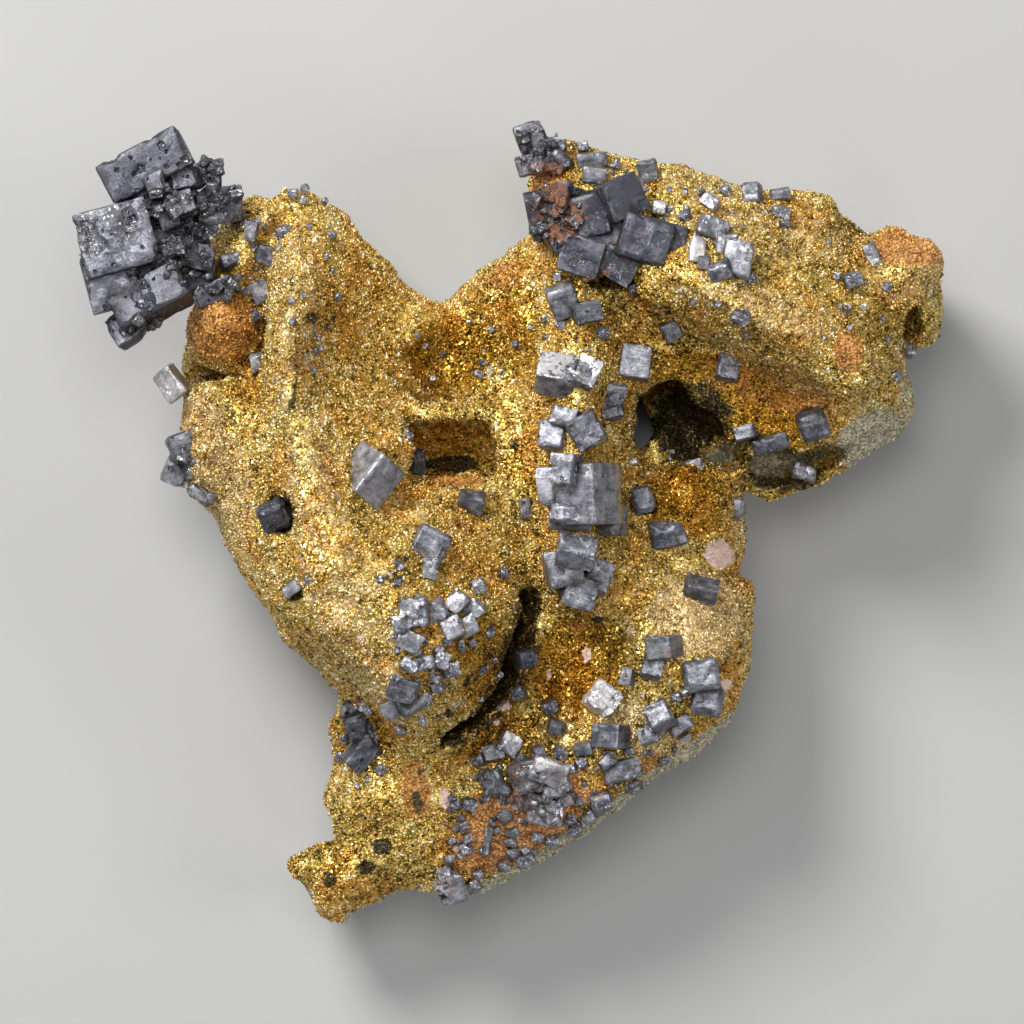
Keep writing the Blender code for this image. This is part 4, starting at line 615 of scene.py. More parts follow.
# The crystals that stand in for a solid, by its name
CRYSTALS: dict[str, tuple[Block, ...]] = {
    "skeletal_slabs": (
        Block(147, 167, 4.5, 2.15, 1.6, 28, level=14.3, tilt=-3, roll=-5, edge=0.1),
        Block(118, 240, 3.75, 3.3, 1.5, 15, level=14.7, tilt=3, roll=-4, edge=0.1),
        Block(113, 278, 2.7, 3.2, 1.4, 15, level=14.4, tilt=3, roll=-3),
        # Painted shade: these two blocks, turned north to the key light, are painted darker
        Block(152, 300, 3.9, 2, 2.2, 27, level=14.2, roll=-18, edge=0.1, tone=-1),
        Block(130, 327, 2, 1.6, 1.6, 34, level=13.7, roll=-14, tone=-1),
        Block(164, 190, 3, 2, 1.5, 24, level=13.2), Block(160, 187, 1.15, 1.15, 1.3, 24, level=15),
        Block(181, 165, 1.1, 1.3, 1.3, 30, level=14.1, tilt=8), Block(188, 181, 1.3, 1, 1.3, 14, level=14.2),
        Block(185, 205, 1.15, 1.15, 1.5, 20, level=14.4, roll=-8),
        Block(168, 217, 1, 1.25, 1.5, 24, level=14.4), Block(169, 253, 1.9, 0.8, 1.2, 40, level=13.8),
        Block(166, 240, 4.2, 5, 1.2, 14, level=12.4), Block(221, 206, 2.3, 1.6, 1.8, 6, level=13.2, roll=12),
        Block(209, 171, 1.2, 1.4, 1.3, -20, level=13.2), Block(204, 228, 1.5, 0.8, 1.4, 10, level=13),
        Block(200, 256, 1.7, 1.3, 1.5, -14, level=13.1), Block(216, 291, 2.2, 1, 1.4, 27, level=12.7),
        Block(193, 284, 1.5, 1.1, 1.2, 24, level=12.6),
    ),
    "neck_upper": (Block(252, 231, 0.8, 1.2, 1, -14),),
    "neck_bridge": (Block(270, 256, 1.45, 0.95, 1, -18),),
    "neck_lower": (Block(261, 290, 1, 1.15, 1, 25),),
    "west_edge_cube": (Block(170, 383, 1.7, 1.2, 1.4, -52, level=10.4, roll=12, edge=0.13),),
    "west_group": (
        Block(186, 446, 1.9, 1.5, 1.8, 20, level=11.2, tilt=6, edge=0.13),
        Block(177, 471, 1.4, 1.4, 1.5, -24, level=10.8), Block(202, 493, 1.5, 1.1, 1.4, -40, level=11.2),
        Block(196, 468, 1.3, 1.3, 1.3, 10, level=11.5),
    ),
    "pit_crystal": (Block(276, 515, 1.5, 1.45, 1.5, 22, level=17.7, roll=20, edge=0.28),),
    "spine_cube": (Block(371, 476, 2.4, 2, 2, 52, 0.35, tilt=5, roll=42, edge=0.04),),
    "recess_crystal": (Block(416, 461, 0.8, 1.5, 1.3, 4, level=9.4),),
    "centre_twin": (
        Block(431, 544, 1.75, 1.65, 1.3, -27, 0.25, tilt=8, edge=0.13),
        Block(431, 569, 0.85, 1.2, 1.3, -6, 0.1),
    ),
    "centre_small": (Block(479, 585, 0.8, 0.8, 0.9, 22, 0.2),),
    "centre_dark": (Block(471, 501, 1.35, 1.05, 1.1, -12, 0.2, roll=25, edge=0.13),),
    "belly_north": (
        Block(415, 611, 1.5, 1.5, 1.3, 2, 0.3, tilt=-5, edge=0.1), Block(404, 623, 0.9, 0.9, 1.2, 14, 0.2),
        Block(411, 638, 1.3, 1, 1.2, -24, 0.15), Block(438, 609, 1, 1, 1.1, 30, 0.15),
        Block(457, 602, 1.2, 0.95, 1.1, 50, 0.15), Block(453, 627, 1.1, 1.1, 1.1, 24, 0.15),
        Block(467, 625, 1.1, 1, 1.1, 30, 0.15), Block(474, 610, 1.1, 0.9, 1.1, 40, 0.15),
    ),
    "belly_middle": (
        Block(427, 661, 0.95, 0.75, 0.9, 15, 0.2), Block(410, 663, 0.95, 0.8, 0.9, -25, 0.15),
        Block(442, 658, 0.85, 0.9, 0.9, -18, 0.2), Block(452, 669, 0.95, 0.8, 0.9, 10, 0.15),
    ),
    "belly_low": (
        Block(396, 706, 1.15, 1, 1.3, 35, 0.4, tilt=-20), Block(411, 703, 1.2, 1, 1.5, 32, 0.3),
        Block(405, 686, 1.5, 1.2, 1.6, -20, 0),
    ),
    "south_west_group": (
        Block(359, 727, 1.6, 1.4, 1.5, 20, 0.3), Block(350, 711, 0.95, 0.9, 1.2, -15, 0.25),
        Block(361, 753, 1.9, 1.15, 1.3, 48, 0.25, roll=20, edge=0.13),
    ),
    "gap_crystal": (Block(525, 658, 1.1, 1, 1.1, 15, 0.1, edge=0.2),),
    "north_tip": (
        Block(531, 138, 1.5, 1.5, 1.5, 20, level=12.3, edge=0.1),
        Block(550, 149, 1.5, 1.2, 1.4, -20, level=12.5), Block(536, 164, 2, 1.15, 1.5, 16, level=12.7),
        Block(557, 162, 1.2, 1.2, 1.3, 40, level=12.8),
    ),
    "north_group": (
        Block(548, 214, 2.1, 2.2, 2.4, 12, level=14.1, roll=10),
        Block(570, 205, 2.2, 1.7, 2.2, -15, level=14.7, tilt=8), Block(564, 234, 2, 1.6, 2, 30, level=14.6),
        Block(594, 217, 1.8, 2.2, 2.2, 14, level=15.4, tilt=-12, edge=0.1),
        Block(618, 201, 2.1, 2, 2.3, 26, level=15.9, tilt=18, roll=4, edge=0.08),
        Block(582, 259, 2.1, 1.9, 2, -18, level=15.8, tilt=-6, edge=0.05),
        Block(618, 265, 2, 1.6, 2, -30, level=15.7, roll=8), Block(608, 238, 2.3, 1.6, 2, -10, level=15.3),
        Block(643, 244, 2.6, 2.3, 2.3, -18, level=16.1, roll=-10, edge=0.12),
        Block(666, 246, 1.8, 2.1, 2, -10, level=15.8, tilt=8, roll=-8, edge=0.1),
    ),
    "north_small_pair": (Block(592, 161, 1.5, 0.8, 1.1, 4, 0.3), Block(594, 175, 1.2, 0.8, 1.1, -8, 0.3)),
    "north_dark_cube": (Block(648, 171, 1, 1.1, 1.2, 10, 0.3, edge=0.13),),
    "north_white_cube": (Block(658, 209, 0.7, 0.7, 0.9, -12, 0.6),),
    "north_box": (Block(695, 252, 0.8, 1.35, 1.1, -6, 0.25),),
    "east_group": (
        Block(711, 230, 1.55, 1.1, 1.3, -22, 0.25, edge=0.15),
        Block(735, 263, 1.45, 1.85, 1.4, -10, 0.35, roll=-12, edge=0.1),
        Block(718, 273, 1.2, 1, 1.1, 20, 0.15), Block(722, 247, 1.1, 1.2, 1, -10, 0.1),
    ),
    "lobe_edge_cube": (Block(752, 194, 0.9, 1.1, 1.1, 5, 0.35, edge=0.13),),
    "lobe_flat_cube": (Block(779, 213, 0.95, 0.6, 0.8, -12, 0.3),),
    "lobe_slim": (Block(873, 255, 1.25, 0.65, 0.8, -64, 0.2),),
    "column_head_pair": (
        Block(563, 301, 1.5, 1.6, 1.6, 22, 0.4, roll=15, edge=0.13),
        Block(586, 314, 1.4, 1.1, 1.3, 14, 0.35, tilt=10),
    ),
    "under_ridge_crystal": (Block(671, 331, 1, 1, 1.1, 30, 0.2, edge=0.2),),
    "ridge_foot_crystal": (Block(727, 367, 1.2, 1.45, 1.2, -12, 0.2, edge=0.13),),
    "cavity_crystal": (Block(813, 424, 1.45, 1.5, 1.5, 18, level=11.6, roll=14, edge=0.2),),
    "cavity_bar": (Block(771, 444, 1.85, 0.85, 1.1, 17, level=10.6, edge=0.15),),
    "column_top": (
        Block(556, 376, 2, 1.75, 1.6, -10, 0.7, roll=-40, edge=0.06),
        Block(585, 376, 1.2, 1.5, 1.6, -24, 0.5, roll=-18),
    ),
    "column_middle": (
        Block(565, 418, 1.3, 1, 1.4, -16, 0.4), Block(553, 436, 1.4, 1.45, 1.6, -6, 0.5, edge=0.14),
        Block(585, 431, 1.65, 1.7, 1.9, 30, 0.6, roll=6, edge=0.1),
    ),
    "column_block": (
        Block(588, 494, 2.35, 3.1, 2.9, 2, 0.1, tilt=-33, edge=0.07),
        Block(565, 470, 1.2, 1.6, 2, -4, 1, tilt=-14), Block(549, 487, 0.95, 2, 1.9, 4, 0.7, tilt=-10),
        Block(570, 518, 2.2, 0.95, 2, -6, 0.5, roll=-16),
        Block(613, 520, 1, 1.6, 1.8, -6, level=15.4, tilt=-20),
    ),
    "column_foot": (
        Block(576, 551, 2, 1.35, 1.4, -10, 0.7, roll=-38, edge=0.06),
        Block(562, 568, 1.75, 1.9, 2.8, 14, 0.55, tilt=4),
        Block(578, 585, 1.7, 1.7, 3.2, -18, 0.3, edge=0.12),
        Block(598, 577, 1.35, 1.6, 2.2, -22, 0.5, roll=-10),
    ),
    "right_cube": (Block(635, 363, 1.55, 1.65, 1.6, -8, level=13.2, edge=0.06),),
    "right_pair": (Block(614, 394, 1.15, 1.1, 1.5, -14, 0.35), Block(611, 410, 1.15, 1.2, 1.5, 12, 0.3)),
    "mound_west": (Block(643, 500, 1.15, 1.45, 1.3, 14, 0.2, edge=0.22),),
    "mound_middle": (Block(669, 532, 2, 1.45, 1.5, 10, 0.1, roll=12, edge=0.2),),
    "mound_east": (Block(731, 507, 1.45, 1.05, 1.3, -6, 0.25, edge=0.2),),
    "ledge_bar": (Block(701, 589, 1.8, 1, 1.1, -13, 0.35, roll=-45, edge=0.04),),
    "ledge_pair": (
        Block(663, 647, 1.5, 1.2, 1.5, 4, 0.5, tilt=-28, edge=0.1),
        Block(652, 667, 1.15, 1.15, 1.3, -14, 0.35),
    ),
    "ledge_slim": (Block(628, 676, 0.7, 0.95, 1.1, -8, 0.4, tilt=-16),),
    "ledge_white_cube": (Block(603, 699, 1.65, 1.55, 1.5, -38, 0.5, edge=0.1),),
    "ledge_striated": (Block(611, 736, 1.55, 1.25, 1.6, -4, 0.35, tilt=-25, edge=0.06),),
    "ledge_rounded": (
        Block(701, 675, 1.85, 1.6, 1.4, 8, 0.3, edge=0.26),
        Block(707, 700, 1.6, 1.5, 1.4, -8, 0.35, edge=0.26),
    ),
    "ledge_twin": (
        Block(660, 717, 1.3, 1.3, 1.3, 28, 0.35, roll=-25, edge=0.12), Block(651, 733, 1, 0.9, 1.1, -8, 0.3),
        Block(680, 726, 1.2, 0.75, 1, 30, 0.25),
    ),
    "ledge_low_bar": (
        Block(622, 771, 1.95, 1.1, 1.4, 12, 0.4, tilt=6, edge=0.12),
        Block(607, 763, 0.95, 0.7, 1.1, 40, 0.3),
    ),
    "ledge_round_low": (Block(602, 804, 1.25, 1.25, 1.3, 22, 0.25, edge=0.22),),
    "ledge_mass": (
        Block(527, 776, 1.9, 1.6, 1.5, 16, 0.35, roll=10, edge=0.15),
        Block(547, 771, 2, 1.4, 1.6, -20, 0.45, tilt=8), Block(555, 786, 1.6, 1.4, 1.4, 24, 0.35),
        Block(546, 812, 1.9, 1.45, 1.4, -12, 0.3, tilt=6), Block(526, 799, 1.2, 1, 1.2, 30, 0.2),
    ),
    "ledge_bright": (Block(492, 781, 1.3, 1.4, 1.3, 18, 0.3, edge=0.18),),
    "ledge_north_bright": (Block(509, 744, 1.1, 1.1, 1.1, -30, 0.3), Block(492, 752, 1.1, 0.9, 1, 16, 0.2)),
    "ledge_needle": (Block(488, 841, 1.5, 0.55, 0.8, 80, 0.25),),
    "foot_crystal": (Block(450, 891, 1.6, 1.5, 1.5, 24, level=9, roll=14, edge=0.2),),
}

# The groups in the lighter finish, a copy of the grey one with their white reflection painted in
PAINTED_SHEEN_GROUPS = ("west_edge_cube", "north_white_cube", "north_box", "ledge_white_cube")

# The groups that grew or look otherwise than the plain ones
CHARACTERS: dict[str, Character] = {
    "skeletal_slabs": Character(Growth.SKELETAL, tone=-0.5, bright=0.42),
    "neck_bridge": Character(rust=0.3), "west_group": Character(Growth.PITTED, rust=0.15, weld=0.08),
    "pit_crystal": Character(Growth.ROUNDED, tone=-0.6, rust=0.2, bright=0.0),
    "spine_cube": Character(Growth.SMOOTH, tone=0.8, bright=0.0),
    "recess_crystal": Character(tone=-0.6, bright=0.0), "centre_twin": Character(tone=0.3, bright=0.35),
    "belly_north": Character(tone=0.35, bright=0.6), "belly_middle": Character(tone=0.3, bright=0.4),
    "south_west_group": Character(Growth.PITTED, tone=-0.4),
    "gap_crystal": Character(Growth.ROUNDED, tone=-0.6),
    "north_tip": Character(Growth.PITTED, tone=-0.2, rust=0.35, weld=0.07),
    "north_group": Character(Growth.MASSIVE, tone=-1.0, rust=0.25, bright=0.3, weld=0.05),
    "north_small_pair": Character(rust=0.3, bright=0.45), "east_group": Character(tone=0.2, bright=0.5),
    "under_ridge_crystal": Character(tone=-0.4),
    "cavity_crystal": Character(Growth.ROUNDED, tone=-0.6, bright=0.0), "cavity_bar": Character(tone=-0.5),
    "column_top": Character(bright=1.0), "column_middle": Character(tone=0.2, bright=0.35),
    "column_block": Character(tone=0.4, bright=0.4), "column_foot": Character(tone=0.2, bright=0.35),
    "right_cube": Character(Growth.SMOOTH), "mound_west": Character(Growth.ROUNDED, tone=-0.3),
    "mound_middle": Character(Growth.ROUNDED, tone=-0.4, rust=0.3),
    "mound_east": Character(Growth.ROUNDED), "ledge_pair": Character(rust=0.25),
    "ledge_white_cube": Character(Growth.PITTED), "ledge_striated": Character(Growth.SMOOTH),
    "ledge_rounded": Character(Growth.ROUNDED), "ledge_twin": Character(rust=0.25),
    "ledge_low_bar": Character(rust=0.3), "ledge_round_low": Character(Growth.ROUNDED, rust=0.35),
    "ledge_mass": Character(Growth.PITTED, tone=1.0, rust=0.3, bright=0.8, weld=0.08),
    "ledge_bright": Character(Growth.PITTED, tone=0.4, bright=0.8),
    "ledge_north_bright": Character(tone=0.5, bright=0.8),
    "foot_crystal": Character(Growth.PITTED, rust=0.3),
}

# Rubble of small broken crystals on a group: middle in plan, half sizes in plan units, and how many
RUBBLE: dict[str, tuple[Place, ...]] = {
    "skeletal_slabs": (
        (192, 250, 30, 42, 70), (176, 205, 34, 14, 26), (222, 200, 24, 16, 26), (146, 326, 20, 9, 12),
        (208, 172, 14, 12, 14), (220, 288, 24, 10, 16),
    ),
    "north_group": ((556, 216, 26, 34, 60),),
    "north_tip": ((536, 148, 22, 20, 30),),
    "ledge_mass": ((536, 786, 30, 22, 40), (545, 812, 20, 12, 14)),
    "west_group": ((188, 460, 14, 24, 16),),
}

# Loose small crystals strewn over the druse: middle in plan, half sizes in plan units and how many
STREWN: tuple[Place, ...] = (
    (300, 300, 34, 90, 20), (240, 260, 30, 60, 22), (440, 660, 64, 60, 40), (352, 740, 36, 50, 22),
    (520, 820, 90, 56, 60), (640, 760, 60, 30, 20), (690, 210, 100, 50, 30), (870, 330, 50, 80, 14),
    (590, 165, 50, 24, 16), (430, 380, 60, 90, 14), (560, 360, 40, 90, 14), (660, 500, 50, 50, 10),
    (400, 570, 24, 20, 8), (330, 200, 50, 14, 10), (740, 300, 70, 50, 12),
)

# Crystals too small for a solid of their own: plan place, length, width, turn and lightness
SMALL_CRYSTALS: dict[str, tuple[Place, ...]] = {
    "west": (
        (258, 362, 0.7, 0.9, 10, 0.6), (230, 262, 1, 0.7, 20, -0.2), (252, 318, 1, 0.7, 40, -0.3),
        (284, 232, 0.8, 0.6, 15, -0.1), (293, 193, 0.5, 0.4, 5, 0), (305, 189, 0.4, 0.4, 30, 0),
        (325, 202, 0.5, 0.4, 60, -0.2), (310, 227, 0.4, 0.4, 10, 0), (332, 236, 0.45, 0.4, 45, -0.2),
        (339, 298, 0.45, 0.45, 20, 0), (330, 328, 0.4, 0.35, 70, -0.2), (317, 352, 0.4, 0.4, 15, -0.3),
        (414, 329, 0.35, 0.3, 20, 0), (491, 329, 0.35, 0.3, 40, 0), (515, 344, 0.4, 0.3, 10, -0.2),
        (469, 322, 0.3, 0.3, 0, 0), (295, 587, 1, 0.6, 35, 0.5), (310, 579, 0.5, 0.4, 10, 0),
        (525, 508, 0.6, 1, 5, 0), (503, 572, 0.7, 0.6, 30, -0.5), (439, 684, 0.65, 0.65, 20, 0.3),
        (423, 717, 0.4, 0.75, 10, 0.6), (425, 696, 0.8, 0.6, 50, 0), (409, 711, 0.5, 0.5, 15, 0),
        (420, 595, 0.5, 0.4, 10, 0.1), (519, 693, 0.8, 0.7, 20, -0.4), (240, 346, 0.7, 0.6, 25, -0.3),
        (436, 676, 0.6, 0.5, -20, 0.2), (418, 648, 0.6, 0.6, 12, 0.1), (462, 645, 0.5, 0.5, 40, 0),
        (449, 640, 0.6, 0.5, 5, 0.2), (472, 641, 0.4, 0.4, 30, -0.2), (398, 676, 0.5, 0.5, 22, 0),
    ),
    "north_east": (
        (710, 204, 0.9, 0.75, -35, 0.7), (780, 194, 1, 0.6, 10, -0.2), (700, 194, 0.5, 0.4, 20, -0.1),
        (725, 190, 0.5, 0.5, 40, -0.2), (784, 225, 0.5, 0.4, 15, -0.3), (665, 218, 0.4, 0.35, 10, 0.8),
        (632, 289, 0.6, 0.5, 30, -0.2), (739, 319, 1, 0.7, -25, -0.2), (583, 147, 0.6, 0.5, 10, -0.2),
        (615, 165, 0.6, 0.5, 35, -0.2), (851, 280, 0.9, 0.7, 20, -0.1), (886, 287, 0.6, 0.5, 50, -0.1),
        (912, 350, 0.6, 0.8, 10, 0.5), (897, 376, 0.6, 0.5, 30, 0.1), (746, 433, 1.1, 0.7, 15, -0.3),
        (806, 473, 1.2, 0.8, -20, 0.3), (827, 241, 0.4, 0.35, 20, 0.1), (545, 320, 0.4, 0.35, 15, 0),
        (530, 328, 0.35, 0.3, 40, 0), (633, 462, 0.4, 0.35, 10, 0.6), (692, 467, 1.1, 0.7, 15, 0.5),
        (602, 335, 0.7, 0.6, 20, -0.2), (560, 325, 0.5, 0.5, 50, -0.1), (640, 189, 0.5, 0.5, 20, 0),
        (682, 218, 0.6, 0.5, 45, -0.2), (748, 281, 0.7, 0.6, 12, 0.1), (702, 264, 0.6, 0.6, -10, 0.2),
    ),
    "ledge": (
        (648, 736, 0.9, 0.8, 20, 0), (674, 729, 0.6, 0.6, 40, 0), (686, 723, 0.65, 0.5, 10, 0),
        (685, 739, 0.8, 0.4, 30, 0.8), (675, 697, 0.5, 0.5, 15, -0.2), (685, 692, 0.5, 0.4, 35, -0.2),
        (584, 748, 1, 0.6, 10, 0.2), (583, 763, 0.6, 0.6, 30, 0), (608, 756, 0.55, 0.6, 5, 0),
        (602, 767, 0.9, 0.35, 35, 0.8), (549, 707, 0.8, 0.7, 20, -0.5), (556, 727, 0.9, 0.8, -15, -0.2),
        (454, 806, 0.6, 0.5, 20, 0), (468, 805, 0.75, 0.7, -10, 0.1), (464, 828, 0.6, 0.6, 30, 0),
        (467, 841, 0.5, 0.5, 15, 0), (505, 817, 0.75, 0.7, 40, 0.1), (510, 844, 0.7, 0.6, 10, 0),
        (513, 854, 0.65, 0.6, 30, 0), (526, 853, 0.5, 0.4, 20, 0.7), (537, 839, 0.7, 0.6, -20, 0.2),
        (552, 842, 0.7, 0.6, 12, 0.1), (467, 851, 0.7, 0.6, 25, 0), (576, 831, 0.8, 0.7, 35, -0.1),
        (526, 862, 0.9, 0.7, 30, 0), (503, 869, 0.6, 0.6, 10, -0.1), (478, 876, 0.6, 0.5, 40, 0),
        (445, 875, 0.7, 0.6, 15, 0.2), (520, 760, 0.7, 0.6, -20, 0.2), (566, 800, 0.8, 0.7, 15, 0),
        (505, 790, 0.6, 0.6, 35, 0.1), (515, 833, 0.5, 0.5, 20, 0), (570, 820, 0.6, 0.6, -10, 0.1),
        (590, 818, 0.7, 0.6, 30, 0), (571, 770, 0.6, 0.5, 10, 0.2), (478, 762, 0.7, 0.6, 20, 0),
        (484, 800, 0.6, 0.5, 40, 0.1), (636, 789, 0.7, 0.6, 25, 0), (664, 762, 0.7, 0.5, 30, -0.2),
        (492, 822, 0.5, 0.5, -15, 0), (450, 862, 0.6, 0.5, 10, 0.1), (474, 890, 0.8, 0.6, 30, 0),
        (345, 740, 0.6, 0.6, 20, -0.4), (372, 738, 0.7, 0.5, 45, -0.3), (340, 758, 0.5, 0.5, 10, -0.3),
        (368, 708, 0.7, 0.6, -20, -0.2), (402, 730, 0.6, 0.5, 15, -0.2), (380, 770, 0.6, 0.5, 30, -0.4),
        (630, 752, 0.6, 0.5, 15, 0), (560, 752, 0.7, 0.6, -25, 0.1), (538, 752, 0.6, 0.6, 20, 0.1),
    ),
}


class Solid:
    """A crystal block with its worked faces, ready to be sampled."""

    def __init__(self, block: Block, habit: Habit, relief: Relief, seed: int) -> None:
        """Place the block and draw its growth steps and pits."""
        self.habit = habit
        self.half = np.array([block.length, block.width, block.height]) / 2.0
        x, y = at(block.x, block.y)
        self.ground = float(relief.height(np.array([x]), np.array([y]))[0])
        self.centre = np.array([x, y, block.level or self.ground + block.rise])
        lean = np.random.default_rng(seed + 5).uniform(-1.0, 1.0, 2)
        lean *= LARGE_LEAN if max(block.length, block.width) > LARGE_SIDE else SMALL_LEAN
        roll, tilt = (block.roll, block.tilt) if block.roll or block.tilt else lean
        turns = [math.radians(angle) for angle in (roll, tilt, block.turn)]
        self.axes = np.array(Euler(turns, "XYZ").to_matrix())
        self.cut = max(0.6 * block.edge * min(block.length, block.width, block.height), habit.chamfer)
        self.noise = Noise(seed)
        rng = np.random.default_rng(seed)
        self.steps = [self.draw_steps(rng, axis) for axis in range(6)]
        self.pits = [self.draw_pits(rng, axis) for axis in range(6)]

    def face_size(self, face: int) -> Array:
        """Return the half sizes of a face across its two own axes."""
        return np.array([self.half[k] for k in range(3) if k != face % 3])

    def draw_steps(self, rng: np.random.Generator, face: int) -> Array:
        """Return the growth steps of a face: middle, half sizes and depth."""
        size = self.face_size(face)
        rows = []
        for _ in range(self.habit.terraces):
            middle = rng.uniform(-1.0, 1.0, 2) * size
            half = rng.uniform(0.25, 0.8, 2) * size
            depth = rng.uniform(-0.35, 1.0) * self.habit.terrace_depth
            rows.append([*middle, *half, depth])
        return np.array(rows).reshape(-1, 5)

    def draw_pits(self, rng: np.random.Generator, face: int) -> Array:
        """Return the pits of a face: middle, half size, depth and squareness."""
        size = self.face_size(face)
        count = rng.poisson(self.habit.pits * 4.0 * size[0] * size[1])
        rows = []
        for _ in range(min(count, MOST_PITS)):
            middle = rng.uniform(-0.95, 0.95, 2) * size
            reach = self.habit.pit_size * rng.lognormal(0.0, 0.4)
            rows.append([*middle, reach, self.habit.pit_depth * rng.uniform(0.5, 1.3), rng.random()])
        return np.array(rows).reshape(-1, 5)

    def local(self, points: Array) -> Array:
        """Return points in the crystal's own axes."""
        return (points - self.centre) @ self.axes

    def plain(self, local: Array) -> Array:
        """Return the distance to the block with its edges cut, without its worked faces."""
        gap = np.abs(local) - self.half
        ordered = np.sort(gap, axis=-1)
        edge = (ordered[..., 2] + ordered[..., 1] + self.cut) / math.sqrt(2.0)
        return np.maximum(ordered[..., 2], edge)

    def worked(self, local: Array) -> Array:
        """Return how deep the steps and pits go at points on or near the faces."""
        gap = np.abs(local) - self.half
        nearest = np.argmax(gap, axis=-1)
        depth = np.zeros(local.shape[:-1])
        for face in range(6):
            axis = face % 3
            mine = (nearest == axis) & ((local[..., axis] > 0) == (face < 3))
            if not mine.any():
                continue
            spots = local[mine]
            first, second = [spots[:, k] for k in range(3) if k != axis]
            first = first + 0.1 * self.noise.smooth(spots + 3.0, 0.4)
            second = second + 0.1 * self.noise.smooth(spots - 5.0, 0.4)
            cut = np.zeros(len(first))
            for u, v, half_u, half_v, deep in self.steps[face]:
                inside = (np.abs(first - u) < half_u) & (np.abs(second - v) < half_v)
                cut = np.where(inside, cut + deep, cut)
            for u, v, reach, deep, square in self.pits[face]:
                round_gap = np.hypot(first - u, second - v)
                square_gap = np.maximum(np.abs(first - u), np.abs(second - v))
                gap_here = (square_gap if square > 0.45 else round_gap) / reach
                cut = np.maximum(cut, deep * (1.0 - smooth_step(0.55, 1.0, gap_here)))
            depth[mine] = cut
        return depth

    def broken(self, flat: Array) -> Array:
        """Return how deep the faces crumble into small cubes, most of all along the edges."""
        gap = np.sort(np.abs(flat) - self.half, axis=1)
        where = self.noise.smooth(flat + 9.0, 1.1) + 0.35 * smooth_step(-0.3, 0.0, gap[:, 1])
        where = smooth_step(self.habit.crumble_from, self.habit.crumble_from + 0.3, where)
        cubes = 0.6 * self.noise.cells(np.floor(flat / 0.3).astype(np.int64))
        cubes += 0.4 * self.noise.cells(np.floor(flat / 0.14).astype(np.int64) + 50)
        return self.habit.crumble * where * cubes * 1.6

    def field(self, points: Array) -> Array:
        """Return the field of the worked crystal at points, below zero inside it."""
        local = self.local(points)
        flat = local.reshape(-1, 3)
        waves = self.noise.layers(flat, ((0.7, self.habit.warp), (0.25, self.habit.warp * 0.5)))
        return self.plain(local) + self.worked(local) + (waves + self.broken(flat)).reshape(local.shape[:-1])

    def reach(self) -> Array:
        """Return half the size of the upright box that holds the block."""
        return np.abs(self.axes) @ (self.half + 0.12)


@dataclass(frozen=True)
class MeshData:
    """The parts of a mesh before it is made: vertices in millimetres and faces."""

    vertices: Array
    faces: Array

    def build(self, name: str) -> bpy.types.Mesh:
        """Return a mesh in metres."""
        mesh = bpy.data.meshes.new(name)
        sides = self.faces.shape[1]
        mesh.vertices.add(len(self.vertices))
        mesh.vertices.foreach_set("co", (self.vertices * MM).astype(np.float32).ravel())
        mesh.loops.add(self.faces.size)
        mesh.loops.foreach_set("vertex_index", self.faces.astype(np.int32).ravel())
        mesh.polygons.add(len(self.faces))
        mesh.polygons.foreach_set("loop_start", np.arange(0, self.faces.size, sides, dtype=np.int32))
        mesh.update(calc_edges=True)
        mesh.validate()
        return mesh


